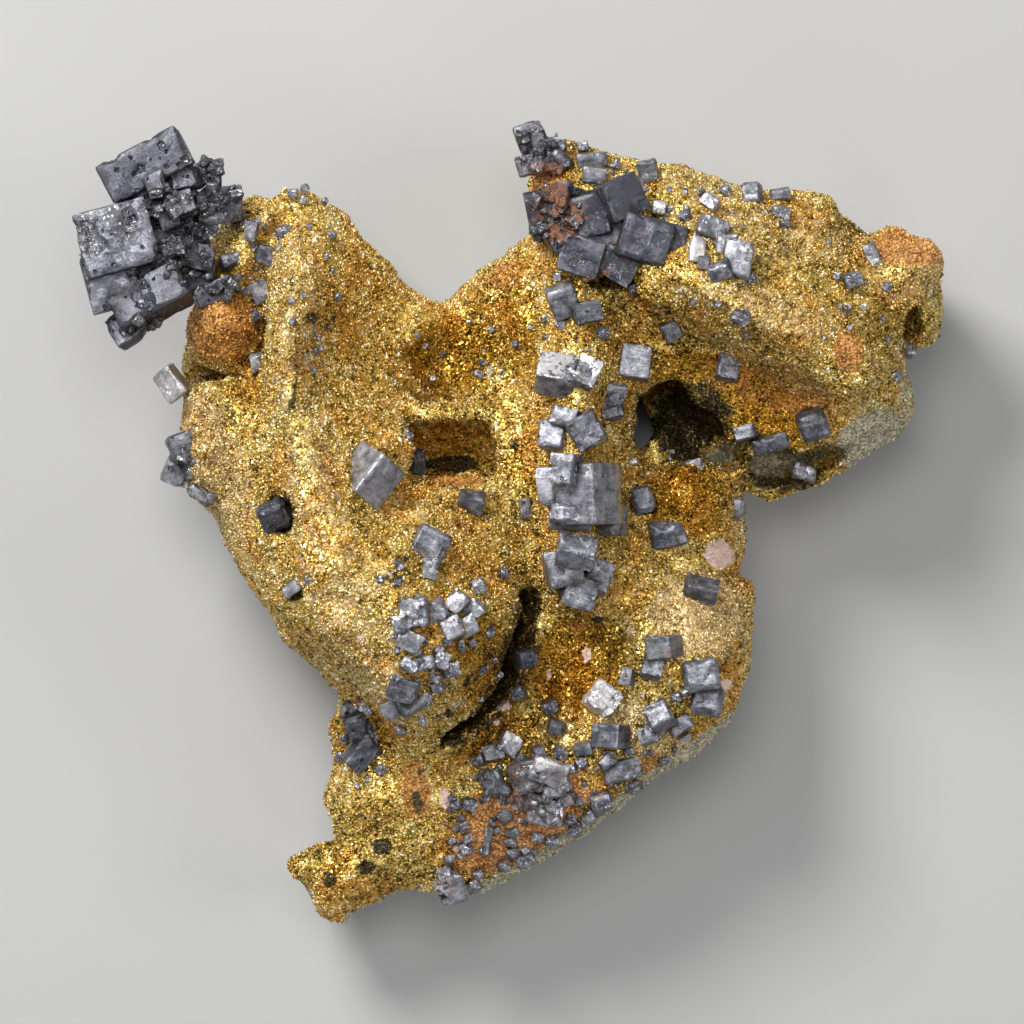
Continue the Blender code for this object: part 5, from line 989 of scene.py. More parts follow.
class Dresser:
    """Adds what a shader reads to a mesh: attributes, a chart of its surface, and its material."""

    def __init__(self, item: bpy.types.Object) -> None:
        """Keep the mesh that is dressed."""
        self.mesh = item.data

    def vertices(self) -> Array:
        """Return the vertices in millimetres."""
        flat = np.empty(len(self.mesh.vertices) * 3, dtype=np.float32)
        self.mesh.vertices.foreach_get("co", flat)
        return flat.reshape(-1, 3).astype(float) / MM

    def value(self, name: str, values: Array) -> None:
        """Store one number for each vertex."""
        layer = self.mesh.attributes.new(name, "FLOAT", "POINT")
        layer.data.foreach_set("value", values.astype(np.float32))

    def vector(self, name: str, values: Array) -> None:
        """Store three numbers for each vertex."""
        layer = self.mesh.attributes.new(name, "FLOAT_VECTOR", "POINT")
        layer.data.foreach_set("vector", values.astype(np.float32).ravel())

    def chart(self, low: Array, high: Array) -> None:
        """Lay the surface out on a square in six charts, by the side that each face looks to.

        Args:
            low: The lowest corner of the box that the charts cover.
            high: The highest corner of that box.
        """
        count = len(self.mesh.polygons)
        normal = np.empty(count * 3, dtype=np.float32)
        self.mesh.polygons.foreach_get("normal", normal)
        normal = normal.reshape(-1, 3)
        axis = np.argmax(np.abs(normal) * (0.8, 0.8, 1.0), axis=1)
        side = normal[np.arange(count), axis] < 0
        totals = np.empty(count, dtype=np.int32)
        self.mesh.polygons.foreach_get("loop_total", totals)
        corner = np.empty(len(self.mesh.loops), dtype=np.int32)
        self.mesh.loops.foreach_get("vertex_index", corner)
        spot = (self.vertices()[corner] - low) / (high - low)
        axis = np.repeat(axis, totals)
        side = np.repeat(side, totals)
        place = np.zeros((len(corner), 2))
        frames = {
            (2, False): (0, 1, 0.0, 0.28, 0.7, 0.72), (2, True): (0, 1, 0.7, 0.7, 0.3, 0.3),
            (0, False): (1, 2, 0.0, 0.0, 0.48, 0.13), (0, True): (1, 2, 0.0, 0.14, 0.48, 0.13),
            (1, False): (0, 2, 0.5, 0.0, 0.48, 0.13), (1, True): (0, 2, 0.5, 0.14, 0.48, 0.13),
        }
        for (wanted, back), (first, second, left, low_edge, wide, tall) in frames.items():
            mine = (axis == wanted) & (side == back)
            place[mine, 0] = left + wide * np.clip(spot[mine, first], 0.0, 1.0)
            place[mine, 1] = low_edge + tall * np.clip(spot[mine, second], 0.0, 1.0)
        layer = self.mesh.uv_layers.new(name="OFBake")
        layer.data.foreach_set("uv", place.astype(np.float32).ravel())

    def finish(self, material: bpy.types.Material, low: Array, high: Array) -> None:
        """Give the mesh its chart, over the box between two corners, and its material."""
        self.chart(low, high)
        self.mesh.materials.append(material)


def add_piece(name: str, mesh: bpy.types.Mesh, nodes: Sequence[str] = ()) -> bpy.types.Object:
    """Put a mesh in the scene as a piece of the specimen.

    Args:
        name: The piece's name.
        mesh: Its mesh, in metres.
        nodes: The solids that it stands for.

    Returns:
        The new object.
    """
    item = bpy.data.objects.new(name, mesh)
    bpy.context.scene.collection.objects.link(item)
    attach(item, "root")
    if nodes:
        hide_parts(*nodes)
    return item


def thin_out(mesh: bpy.types.Mesh, share: float) -> bpy.types.Mesh:
    """Return a mesh with a share of its triangles, the flat parts thinned most."""
    item = bpy.data.objects.new("thinning", mesh)
    bpy.context.scene.collection.objects.link(item)
    step = item.modifiers.new("thin", "DECIMATE")
    step.ratio = share
    step.use_collapse_triangulate = True
    bpy.context.view_layer.update()
    result = bpy.data.meshes.new_from_object(item.evaluated_get(bpy.context.evaluated_depsgraph_get()))
    bpy.data.objects.remove(item, do_unlink=True)
    bpy.data.meshes.remove(mesh)
    return result


Operand = Any


class Term:
    """A number in a shader. Sums on it add Math nodes."""

    kind = "ShaderNodeMath"

    def __init__(self, graph: "Graph", socket: bpy.types.NodeSocket) -> None:
        """Keep the socket that carries the number."""
        self.graph = graph
        self.socket = socket

    def join(self, operation: str, first: Operand, second: Operand) -> "Term":
        """Return the result of an operation on two values."""
        return self.graph.node(self.kind, {"operation": operation}, {0: first, 1: second})

    def __add__(self, other: Operand) -> "Term":
        """Return this plus another."""
        return self.join("ADD", self, other)

    def __radd__(self, other: Operand) -> "Term":
        """Return another plus this."""
        return self.join("ADD", other, self)

    def __sub__(self, other: Operand) -> "Term":
        """Return this less another."""
        return self.join("SUBTRACT", self, other)

    def __rsub__(self, other: Operand) -> "Term":
        """Return another less this."""
        return self.join("SUBTRACT", other, self)

    def __mul__(self, other: Operand) -> "Term":
        """Return this times another."""
        return self.join("MULTIPLY", self, other)

    def __rmul__(self, other: Operand) -> "Term":
        """Return another times this."""
        return self.join("MULTIPLY", other, self)

    def stepped(self, low: float, high: float) -> "Term":
        """Return 0 below low, 1 above high and a smooth rise between."""
        return self.graph.node("ShaderNodeMapRange", {"interpolation_type": "SMOOTHSTEP"},
                               {"Value": self, "From Min": low, "From Max": high})


class VectorTerm(Term):
    """A vector or colour in a shader. Sums on it add Vector Math nodes."""

    kind = "ShaderNodeVectorMath"


class Graph:
    """A material's nodes, made one by one in plain calls."""

    def __init__(self, name: str) -> None:
        """Start a material with its surface shader."""
        self.material = bpy.data.materials.new(name)
        self.material.use_nodes = True
        self.tree = self.material.node_tree
        self.shader = self.tree.nodes["Principled BSDF"]

    @staticmethod
    def pick(sockets: Any, key: int | str) -> bpy.types.NodeSocket:
        """Return a socket by its number, name or identifier."""
        if isinstance(key, int):
            return sockets[key]
        for socket in sockets:
            if key == socket.identifier:
                return socket
        return sockets[key]

    def feed(self, socket: bpy.types.NodeSocket, value: Operand) -> None:
        """Link a term to a socket, or set a plain value on it."""
        if isinstance(value, Term):
            self.tree.links.new(value.socket, socket)
        else:
            socket.default_value = value

    def node(self, kind: str, settings: dict[str, Any], inputs: dict[int | str, Operand],
             output: int | str = 0) -> Term:
        """Add a node.

        Args:
            kind: The node's type.
            settings: Its settings, and the stops of a ramp, which are set first.
            inputs: The values or terms of its sockets.
            output: The output that is wanted.

        Returns:
            The output as a term.
        """
        node = self.tree.nodes.new(kind)
        for name, value in settings.items():
            if name == "stops":
                stops = node.color_ramp.elements
                while len(stops) < len(value):
                    stops.new(0.5)
                for stop, (place, colour) in zip(stops, value):
                    stop.position = place
                    stop.color = colour
            else:
                setattr(node, name, value)
        for key, value in inputs.items():
            self.feed(self.pick(node.inputs, key), value)
        socket = self.pick(node.outputs, output)
        return Term(self, socket) if socket.type == "VALUE" else VectorTerm(self, socket)

    def mix(self, share: Operand, first: Operand, second: Operand, blend: str = "MIX") -> Term:
        """Return a colour between two colours, or the first with the second blended onto it."""
        return self.node("ShaderNodeMix", {"data_type": "RGBA", "blend_type": blend},
                         {"Factor_Float": share, "A_Color": first, "B_Color": second}, "Result_Color")

    def place(self) -> Term:
        """Return the place on the object, in metres."""
        return self.node("ShaderNodeTexCoord", {}, {}, "Object")

    def facets(self, place: Term, size: float) -> Term:
        """Return a colour of its own for each small cell, of a size in millimetres."""
        return self.node("ShaderNodeTexVoronoi", {}, {"Vector": place, "Scale": 1.0 / (size * MM)}, "Color")

    def facing(self) -> Term:
        """Return the direction that the surface looks to."""
        return self.node("ShaderNodeNewGeometry", {}, {}, "Normal")

    def tilted(self, facets: Term, amount: Operand) -> Term:
        """Return the direction of the surface, turned another way in each facet."""
        spread = (facets - (0.5, 0.5, 0.5)) * amount
        return self.node("ShaderNodeVectorMath", {"operation": "NORMALIZE"}, {0: self.facing() + spread})

    def bump(self, height: Term, strength: float, depth: float, normal: Term) -> Term:
        """Return a direction with fine relief of a depth in millimetres added."""
        inputs = {"Strength": strength, "Distance": depth * MM, "Height": height, "Normal": normal}
        return self.node("ShaderNodeBump", {}, inputs)

    def value(self, name: str) -> Term:
        """Return a number that the mesh holds."""
        return self.node("ShaderNodeAttribute", {"attribute_name": name}, {}, "Fac")

    def vector(self, name: str) -> Term:
        """Return a vector that the mesh holds."""
        return self.node("ShaderNodeAttribute", {"attribute_name": name}, {}, "Vector")

    def noise(self, place: Term, wave: float, detail: float = 2.0, roughness: float = 0.5) -> Term:
        """Return uneven values from 0 to 1 with a wave length in millimetres."""
        inputs = {"Vector": place, "Scale": 1.0 / (wave * MM), "Detail": detail, "Roughness": roughness}
        return self.node("ShaderNodeTexNoise", {}, inputs)

    def surface(self, **inputs: Operand) -> bpy.types.Material:
        """Feed the surface shader and return the material."""
        for name, value in inputs.items():
            self.feed(self.shader.inputs[name.replace("_", " ")], value)
        return self.material


@dataclass(frozen=True)
class DruseFinish:
    """The sparkling gold coating, its stains and the rock that shows where it is broken, with painted shade
    in its hollows and gaps and a painted sparkle on its lightest grains.
    """

    name: str
    loose: bool
    gloss: float = 0.31
    cell: float = 0.1
    sparkle: float = 0.8
    # Grain tones from dark to light; the lightest stop, near white, is a painted sparkle highlight
    tones: tuple[tuple[float, Colour], ...] = (
        (0.0, (0.06, 0.045, 0.012, 1.0)), (0.12, (0.24, 0.16, 0.03, 1.0)), (0.32, (0.58, 0.385, 0.07, 1.0)),
        (0.62, (0.84, 0.60, 0.17, 1.0)), (0.84, (0.98, 0.80, 0.38, 1.0)), (0.97, (1.0, 0.97, 0.78, 1.0)))
    # The warm dark tint of the painted shade in hollows
    deep: Colour = (0.63, 0.465, 0.085, 1.0)
    layers: tuple[tuple[StainAndShade, float, Colour, Colour], ...] = (
        (StainAndShade.TAN, 0.75, (0.38, 0.25, 0.11, 1.0), (0.95, 0.76, 0.44, 1.0)),
        (StainAndShade.RUST, 0.8, (0.20, 0.065, 0.012, 1.0), (0.74, 0.33, 0.065, 1.0)),
        (StainAndShade.RED, 0.85, (0.34, 0.12, 0.03, 1.0), (0.98, 0.55, 0.22, 1.0)),
        (StainAndShade.ROCK, 0.9, (0.22, 0.205, 0.14, 1.0), (0.72, 0.70, 0.50, 1.0)),
        (StainAndShade.PALE, 1.0, (0.66, 0.45, 0.35, 1.0), (0.9, 0.72, 0.62, 1.0)),
        # Painted shade: the dark kind turns gaps and cavities near black
        (StainAndShade.DARK, 0.94, (0.028, 0.026, 0.02, 1.0), (0.1, 0.078, 0.025, 1.0)))

    def stain_and_shade(self, graph: Graph, kind: StainAndShade, ragged: Term) -> Term:
        """Return how much of a stain shows, with a ragged edge, and for the dark and deep kinds how much
        painted shade.
        """
        return (graph.value(kind.value) + ragged).stepped(0.4, 0.66)

    def material(self) -> bpy.types.Material:
        """Return the finish as a material."""
        graph = Graph(self.name)
        place = graph.place()
        cells = graph.facets(place, self.cell)
        if self.loose:
            tone = graph.value("tone")
        else:
            tone = graph.node("ShaderNodeSeparateColor", {}, {0: cells}) * 0.82
        drift = (graph.noise(place, 0.6, 4.0, 0.62) - 0.5) * 1.35 - 0.05
        drift = drift + (graph.noise(place + (0.003, 0.019, 0.007), 3.8, 2.0, 0.5) - 0.5) * 0.6
        colour = graph.node("ShaderNodeValToRGB", {"stops": self.tones}, {0: tone + drift})
        warm = graph.noise(place + (0.011, 0.007, 0.003), 2.6, 4.0, 0.6).stepped(0.42, 0.66)
        tint = graph.mix(warm, (0.98, 0.99, 1.0, 1.0), (1.0, 0.8, 0.55, 1.0))
        colour = graph.mix(1.0, colour, tint, "MULTIPLY")
        ragged = (graph.noise(place, 0.5, 4.0, 0.68) - 0.5) * 1.5
        masks = {kind: self.stain_and_shade(graph, kind, ragged) for kind in StainAndShade}
        # Painted shade: hollows of the deep kind take a warm dark gold
        colour = graph.mix(masks[StainAndShade.DEEP] * 0.85, colour, graph.mix(1.0, colour, self.deep, "MULTIPLY"))
        fleck = (tone + drift * 0.7).stepped(0.1, 0.95)
        for kind, strength, low, high in self.layers:
            colour = graph.mix(masks[kind] * strength, colour, graph.mix(fleck, low, high))
        dull = masks[StainAndShade.TAN] * 0.35 + masks[StainAndShade.RUST] * 0.65 + masks[StainAndShade.RED] * 0.3
        dull = (dull + masks[StainAndShade.ROCK] * 0.8 + masks[StainAndShade.PALE]).stepped(0.0, 1.0)
        # The lightest grains, painted near white as sparkle, are less metallic so that they stay light
        metallic = (0.74 - 0.66 * dull) * (1.0 - tone.stepped(0.9, 0.96) * 0.5)
        rough = self.gloss + 0.3 * dull + (graph.noise(place, 0.2) - 0.5) * 0.2
        normal = graph.facing() if self.loose else graph.tilted(cells, (self.sparkle,) * 3)
        bump = graph.bump(graph.noise(place, 0.06, 2.0), 0.35, 0.03, normal)
        return graph.surface(Base_Color=colour, Metallic=metallic, Roughness=rough, Normal=bump)


@dataclass(frozen=True)
class AcanthiteFinish:
    """Lead-grey metallic crystal faces with fine striations, pits and a little rust; shade is painted into
    the pits and along the seams, highlight onto the edges and lit tops, and glints onto crumbled parts.
    """

    name: str
    base: Colour = (0.055, 0.056, 0.07, 1.0)
    light: Colour = (0.37, 0.37, 0.41, 1.0)
    pit_and_seam_shade: Colour = (0.022, 0.02, 0.021, 1.0)
    pit_shade_from: float = 0.1
    painted_sheen: Colour = (0.82, 0.80, 0.80, 1.0)
    glint: Colour = (0.78, 0.78, 0.83, 1.0)
    rust: Colour = (0.22, 0.075, 0.022, 1.0)
    dust: tuple[Colour, Colour] = ((0.14, 0.07, 0.02, 1.0), (0.6, 0.42, 0.13, 1.0))
    speck: Colour = (0.62, 0.5, 0.3, 1.0)
    metallic: float = 0.62
    gloss: float = 0.42
    facet: float = 0.13

    def material(self) -> bpy.types.Material:
        """Return the finish as a material."""
        graph = Graph(self.name)
        place = graph.place()
        depth, crumb = graph.value("depth"), graph.value("crumb")
        mottle = graph.noise(place, 0.5, 4.0, 0.6)
        fine = graph.noise(place, 0.09, 3.0, 0.6)
        lines = graph.noise(graph.vector("own") * (1.0, 7.0, 1.0), 0.9, 3.0, 0.6)
        tone = graph.value("tone") * 0.3 + mottle + (lines - 0.5) * 0.5 + (fine - 0.5) * 0.5
        colour = graph.mix(tone.stepped(0.26, 0.96), self.base, self.light)
        # Edges painted a little lighter: partly wear, partly a painted edge highlight
        colour = graph.mix(graph.value("edge") * 0.12, colour, self.light)
        # Painted shade where the surface lies deep in pits and crumbled hollows
        colour = graph.mix(depth.stepped(self.pit_shade_from, self.pit_shade_from + 0.2) * 0.85, colour, self.pit_and_seam_shade)
        # Painted highlight: lit tops turn near white, broken by small gaps, but not in hollows
        painted_sheen = (graph.value("bright") + (graph.noise(place, 0.28, 4.0, 0.65) - 0.5) * 1.3).stepped(0.5, 0.6)
        painted_sheen = painted_sheen * (1.0 - depth.stepped(0.03, 0.1))
        gaps = graph.noise(place + (0.002, 0.005, 0.001), 0.24, 3.0, 0.6).stepped(0.56, 0.6)
        colour = graph.mix(painted_sheen * (1.0 - gaps * 0.9) * 0.85, colour, self.painted_sheen)
        # Painted glints: small near-white specks on crumbled crystals, in deep hollows and in scattered
        # patches
        glint_area = graph.noise(place, 0.9, 3.0, 0.6).stepped(0.58, 0.7) * 0.25 + crumb * 0.8
        glint_area = (glint_area + depth.stepped(0.09, 0.16) * 0.8).stepped(0.0, 1.0)
        glint = graph.noise(place, 0.085, 2.0, 0.7).stepped(0.58, 0.64) * glint_area
        colour = graph.mix(glint * 0.7, colour, self.glint)
        # Painted shade along the seams where two crystals meet
        colour = graph.mix(graph.value("seam") * 0.75, colour, self.pit_and_seam_shade)
        rust = (graph.value("rust") + (graph.noise(place, 0.35, 4.0, 0.65) - 0.5) * 1.1).stepped(0.45, 0.7)
        colour = graph.mix(rust * 0.75, colour, self.rust)
        dust = (graph.value("foot") + (graph.noise(place, 0.3, 3.0, 0.65) - 0.5) * 1.2).stepped(0.5, 0.8)
        colour = graph.mix(dust * 0.6, colour, graph.mix(fine, *self.dust))
        speck = graph.noise(place, 0.11, 1.0).stepped(0.75, 0.79)
        colour = graph.mix(speck * 0.6, colour, self.speck)
        hollow = depth.stepped(0.02, 0.12)
        rough = self.gloss - glint * 0.15 + (mottle - 0.5) * 0.22 + rust * 0.3 + hollow * 0.2
        uneven = graph.noise(place, 0.7, 3.0, 0.6).stepped(0.48, 0.66) * 0.26 + 0.07
        uneven = uneven + hollow * 0.35 + crumb * 0.4
        normal = graph.tilted(graph.facets(place, self.facet), uneven)
        bump = graph.bump(mottle * 0.25 + fine * 0.5 + lines * 0.45, 0.55, 0.045, normal)
        metallic = self.metallic - rust * 0.6
        return graph.surface(Base_Color=colour, Metallic=metallic, Roughness=rough, Normal=bump)


# A lighter copy of the grey finish: painted highlight standing in for the white reflection on some crystals
PAINTED_SHEEN_FINISH = AcanthiteFinish("acanthite_silver", base=(0.42, 0.41, 0.42, 1.0),
                                light=(0.9, 0.88, 0.88, 1.0), pit_shade_from=0.16, metallic=0.6, gloss=0.34)


@dataclass(frozen=True)
class FloorFinish:
    """A plain pale floor."""

    name: str = "pale_floor"
    colour: Colour = (0.36, 0.36, 0.355, 1.0)

    def material(self) -> bpy.types.Material:
        """Return the finish as a material."""
        return Graph(self.name).surface(Base_Color=self.colour, Roughness=0.7)


EDGE_NOISE = Noise(29)


@dataclass
class RockMatrix:
    """The rock with its ridges, recess, hole and cavities."""

    relief: Relief
    cell: float = 0.262
    shell: float = 0.75
    wander: float = 0.3
    wander_wave: float = 1.5
    noise: Noise = Noise(11)
    data: MeshData = field(init=False)

    def field(self, x: Array, y: Array, z: Array, height: Array, edge: Array) -> Array:
        """Return the field of the rock, below zero inside it.

        Args:
            x: Coordinates to the right.
            y: Coordinates towards the top of the plan.
            z: Levels above the back.
            height: The relief over the plan.
            edge: The signed distance to the outline in plan.

        Returns:
            The field, of the shape that the coordinates make together.
        """
        result = (z - height) * SLOPE_SHARE
        for centre, radii in LUMPS:
            result = blend_min(result, ellipsoid(x, y, z, centre, radii), LUMP_BLEND)
        result = blend_min(result, rounded_bar(x, y, z, *RIDGE_BAR), LUMP_BLEND)
        result = blend_min(result, rounded_bar(x, y, z, *LIP_BAR), HOLLOW_BLEND)
        lower = np.maximum(WAIST_LEVEL - z, 0.0)
        upper = np.maximum(z - WAIST_LEVEL, 0.0)
        drift_x, drift_y = self.drift(x, y, z)
        wall = edge + LOWER_FLARE * lower ** 2 + UPPER_FLARE * upper ** 2
        rough = WALL_ROUGHNESS * np.clip((WALL_ROUGH_TOP - z) / WAIST_LEVEL, 0.0, 1.0)
        wall = wall + rough * (1.0 + ripple(x, y, z, WALL_WAVE))
        result = blend_max(result, wall, EDGE_ROUND)
        for centre, radii in HOLLOWS:
            result = blend_max(result, -ellipsoid(drift_x, drift_y, z, centre, radii), HOLLOW_BLEND)
        floor = RECESS_FLOOR + RECESS_SLOPE * (drift_y - at(0.0, RECESS_SOUTH)[1])
        recess = blend_max(rounded_box(drift_x, drift_y, z, *RECESS), floor - z, HOLLOW_BLEND)
        result = blend_max(result, -recess, HOLLOW_BLEND)
        trench = line_distance(drift_x + TRENCH_LEAN * (TRENCH_BRIM - z), drift_y, TRENCH)
        trench = blend_max(trench, TRENCH_FLOOR - z, HOLLOW_BLEND)
        result = blend_max(result, -trench, HOLLOW_BLEND)
        result = blend_max(result, -polygon_distance(drift_x, drift_y, HOLE), HOLLOW_BLEND)
        return result + FACE_ROUGHNESS * np.clip(z / WAIST_LEVEL, 0.0, 1.0) * ripple(x, y, z, FACE_WAVE)

    def drift(self, x: Array, y: Array, z: Array) -> tuple[Array, Array]:
        """Return plan coordinates that wander a little, so that hollows get uneven rims."""
        points = np.stack([x, y, z], axis=-1).reshape(-1, 3)
        moved = [value + self.wander * self.noise.smooth(points + offset, self.wander_wave).reshape(x.shape)
                 for value, offset in ((x, 40.0), (y, 80.0))]
        return moved[0], moved[1]

    def sample(self) -> None:
        """Sample the rock, roughen its surface and draw it."""
        axes = [np.arange(low, high, self.cell) for low, high in zip(FIELD_LOW, FIELD_HIGH)]
        x, y, z = np.meshgrid(*axes, indexing="ij")
        height = self.relief.height(x[:, :, 0], y[:, :, 0])[:, :, None]
        edge = polygon_distance(x[:, :, 0], y[:, :, 0], OUTLINE)[:, :, None]
        values = self.field(x, y, z, height, edge)
        near = np.abs(values) < self.shell
        points = np.stack([x[near], y[near], z[near]], axis=1)
        rim = np.broadcast_to(edge, values.shape)[near]
        broken = smooth_step(*BREAK_RIM, rim) * smooth_step(*BREAK_TOP, points[:, 2])
        broken = np.maximum(broken, smooth_step(*BREAK_WALL, points[:, 2]))
        druse = self.noise.layers(points, DRUSE_WAVES)
        values[near] += druse * (1.0 - broken) + broken * self.noise.layers(points, BREAK_WAVES)
        values = np.maximum(values, -z)
        vertices, faces = surface_net(values, FIELD_LOW, self.cell)
        vertices[:, 2] = np.maximum(vertices[:, 2], 0.0)
        self.data = MeshData(vertices, faces)

    def build(self, material: bpy.types.Material) -> bpy.types.Object:
        """Make the rock's piece.

        Args:
            material: The finish of the rock.

        Returns:
            The new object.
        """
        self.sample()
        item = add_piece("druse_matrix", self.data.build("druse_matrix"), ["matrix"])
        dresser = Dresser(item)
        spots = dresser.vertices()
        # Stains, and the painted shade of the dark and deep kinds, as attributes
        for kind in StainAndShade:
            dresser.value(kind.value, stain_and_shade_share(kind, spots))
        dresser.finish(material, spots.min(axis=0), spots.max(axis=0))
        item.data.shade_smooth()
        return item


def edge_distance(points: Array) -> Array:
    """Return the signed distance to the outline in plan of points in millimetres."""
    return polygon_distance(points[:, 0], points[:, 1], OUTLINE)


def coat_level(points: Array) -> Array:
    """Return the levels of points, drifting up and down so that the coating ends in an uneven line."""
    level = points[:, 2] + 1.0 + 1.5 * EDGE_NOISE.smooth(points, 4.5)
    return level + 0.7 * EDGE_NOISE.smooth(points + 70.0, 1.4)


def stain_and_shade_share(kind: StainAndShade, points: Array) -> Array:
    """Return the strength of a stain at points in millimetres, and for the dark and deep kinds that of
    painted shade.
    """
    total = np.zeros(len(points))
    for mark in STAINS_AND_SHADE:
        if mark.stain_and_shade is kind:
            total = np.maximum(total, mark.share(points[:, 0], points[:, 1]))
    rim = edge_distance(points)
    if kind is StainAndShade.ROCK:
        below = smooth_step(*BARE_BELOW, coat_level(points)) * smooth_step(*OUTER_RIM, rim)
        return np.maximum.reduce([total, below, smooth_step(*BARE_BACK, points[:, 2])])
    return total * np.maximum(smooth_step(*STAIN_AND_SHADE_WALL, points[:, 2]), smooth_step(*INNER_FACE, rim))


@dataclass
class DruseGrains:
    """Small closed crystals that coat the rock, each turned its own way."""

    rock: RockMatrix
    solids: list[Solid]
    count: int = 138000
    size: float = 0.074
    spread: float = 0.33
    lift: float = 0.25
    darkest: float = 0.14
    seed: int = 5
    parts: tuple[str, ...] = ("grains_west", "grains_middle", "grains_east")

    def coat(self, points: Array, normals: Array) -> Array:
        """Return how thick the coating lies at points with given normals, from 0 to 1."""
        up = smooth_step(-0.45, 0.1, normals[:, 2])
        level = smooth_step(*DRUSE_FROM, coat_level(points))
        level = np.maximum(level, smooth_step(*INNER_FACE, edge_distance(points)))
        bare = np.maximum(stain_and_shade_share(StainAndShade.ROCK, points), 1.1 * stain_and_shade_share(StainAndShade.PALE, points))
        return up * level * (1.0 - 0.8 * bare)

    def scatter(self) -> tuple[Array, Array]:
        """Return the places of the grains and the directions that they stand in."""
        rng = np.random.default_rng(self.seed)
        vertices, quads = self.rock.data.vertices, self.rock.data.faces
        triangles = np.concatenate([quads[:, [0, 1, 2]], quads[:, [0, 2, 3]]])
        a, b, c = (vertices[triangles[:, k]] for k in range(3))
        cross = np.cross(b - a, c - a)
        double = np.linalg.norm(cross, axis=1)
        normals = cross / np.maximum(double, 1e-9)[:, None]
        weight = double * self.coat((a + b + c) / 3.0, normals)
        picks = rng.choice(len(weight), self.count, p=weight / weight.sum())
        u, v = rng.random(self.count), rng.random(self.count)
        fold = u + v > 1.0
        u, v = np.where(fold, 1.0 - u, u), np.where(fold, 1.0 - v, v)
        points = a[picks] + u[:, None] * (b - a)[picks] + v[:, None] * (c - a)[picks]
        return points, normals[picks]

    def clear(self, points: Array) -> Array:
        """Return which grains lie outside every crystal."""
        free = np.ones(len(points), dtype=bool)
        for solid in self.solids:
            near = np.flatnonzero(np.all(np.abs(points - solid.centre) < solid.reach(), axis=1))
            if len(near):
                free[near] &= solid.plain(solid.local(points[near])) > -0.05
        return free

    def build(self, material: bpy.types.Material) -> list[bpy.types.Object]:
        """Make the grains' pieces.

        Args:
            material: The finish of the grains.

        Returns:
            The new objects.
        """
        points, normals = self.scatter()
        free = self.clear(points)
        points, normals = points[free], normals[free]
        rng = np.random.default_rng(self.seed + 1)
        size = self.size * rng.lognormal(0.0, self.spread, len(points))
        spin = rng.normal(size=(len(points), 4))
        w, x, y, z = (spin / np.linalg.norm(spin, axis=1)[:, None]).T
        turns = np.stack([
            1 - 2 * (y * y + z * z), 2 * (x * y - w * z), 2 * (x * z + w * y),
            2 * (x * y + w * z), 1 - 2 * (x * x + z * z), 2 * (y * z - w * x),
            2 * (x * z - w * y), 2 * (y * z + w * x), 1 - 2 * (x * x + y * y)], axis=1).reshape(-1, 3, 3)
        corners = np.array([(1, 1, 1), (1, -1, -1), (-1, 1, -1), (-1, -1, 1)]) / math.sqrt(3.0)
        shape = np.einsum("nij,kj->nki", turns, corners) * size[:, None, None]
        shape += (points + normals * (size * self.lift)[:, None])[:, None]
        tone = self.darkest + (1.0 - self.darkest) * rng.random(len(points))
        low, high = self.rock.data.vertices.min(axis=0), self.rock.data.vertices.max(axis=0)
        borders = np.quantile(points[:, 0], np.linspace(0.0, 1.0, len(self.parts) + 1))
        borders[-1] += 1.0
        faces = np.array([(0, 1, 2), (0, 3, 1), (0, 2, 3), (1, 3, 2)])
        items = []
        for name, start, end in zip(self.parts, borders, borders[1:]):
            mine = (points[:, 0] >= start) & (points[:, 0] < end)
            spots = np.maximum(shape[mine].reshape(-1, 3), (-1e9, -1e9, 0.0))
            ring = (faces[None] + 4 * np.arange(int(mine.sum()))[:, None, None]).reshape(-1, 3)
            item = add_piece(name, MeshData(spots, ring).build(name))
            dresser = Dresser(item)
            dresser.value("tone", np.repeat(tone[mine], 4))
            # Stains, and the painted shade of the dark and deep kinds, as attributes
            for kind in StainAndShade:
                dresser.value(kind.value, np.repeat(stain_and_shade_share(kind, points[mine]), 4))
            dresser.finish(material, low, high)
            items.append(item)
        return items


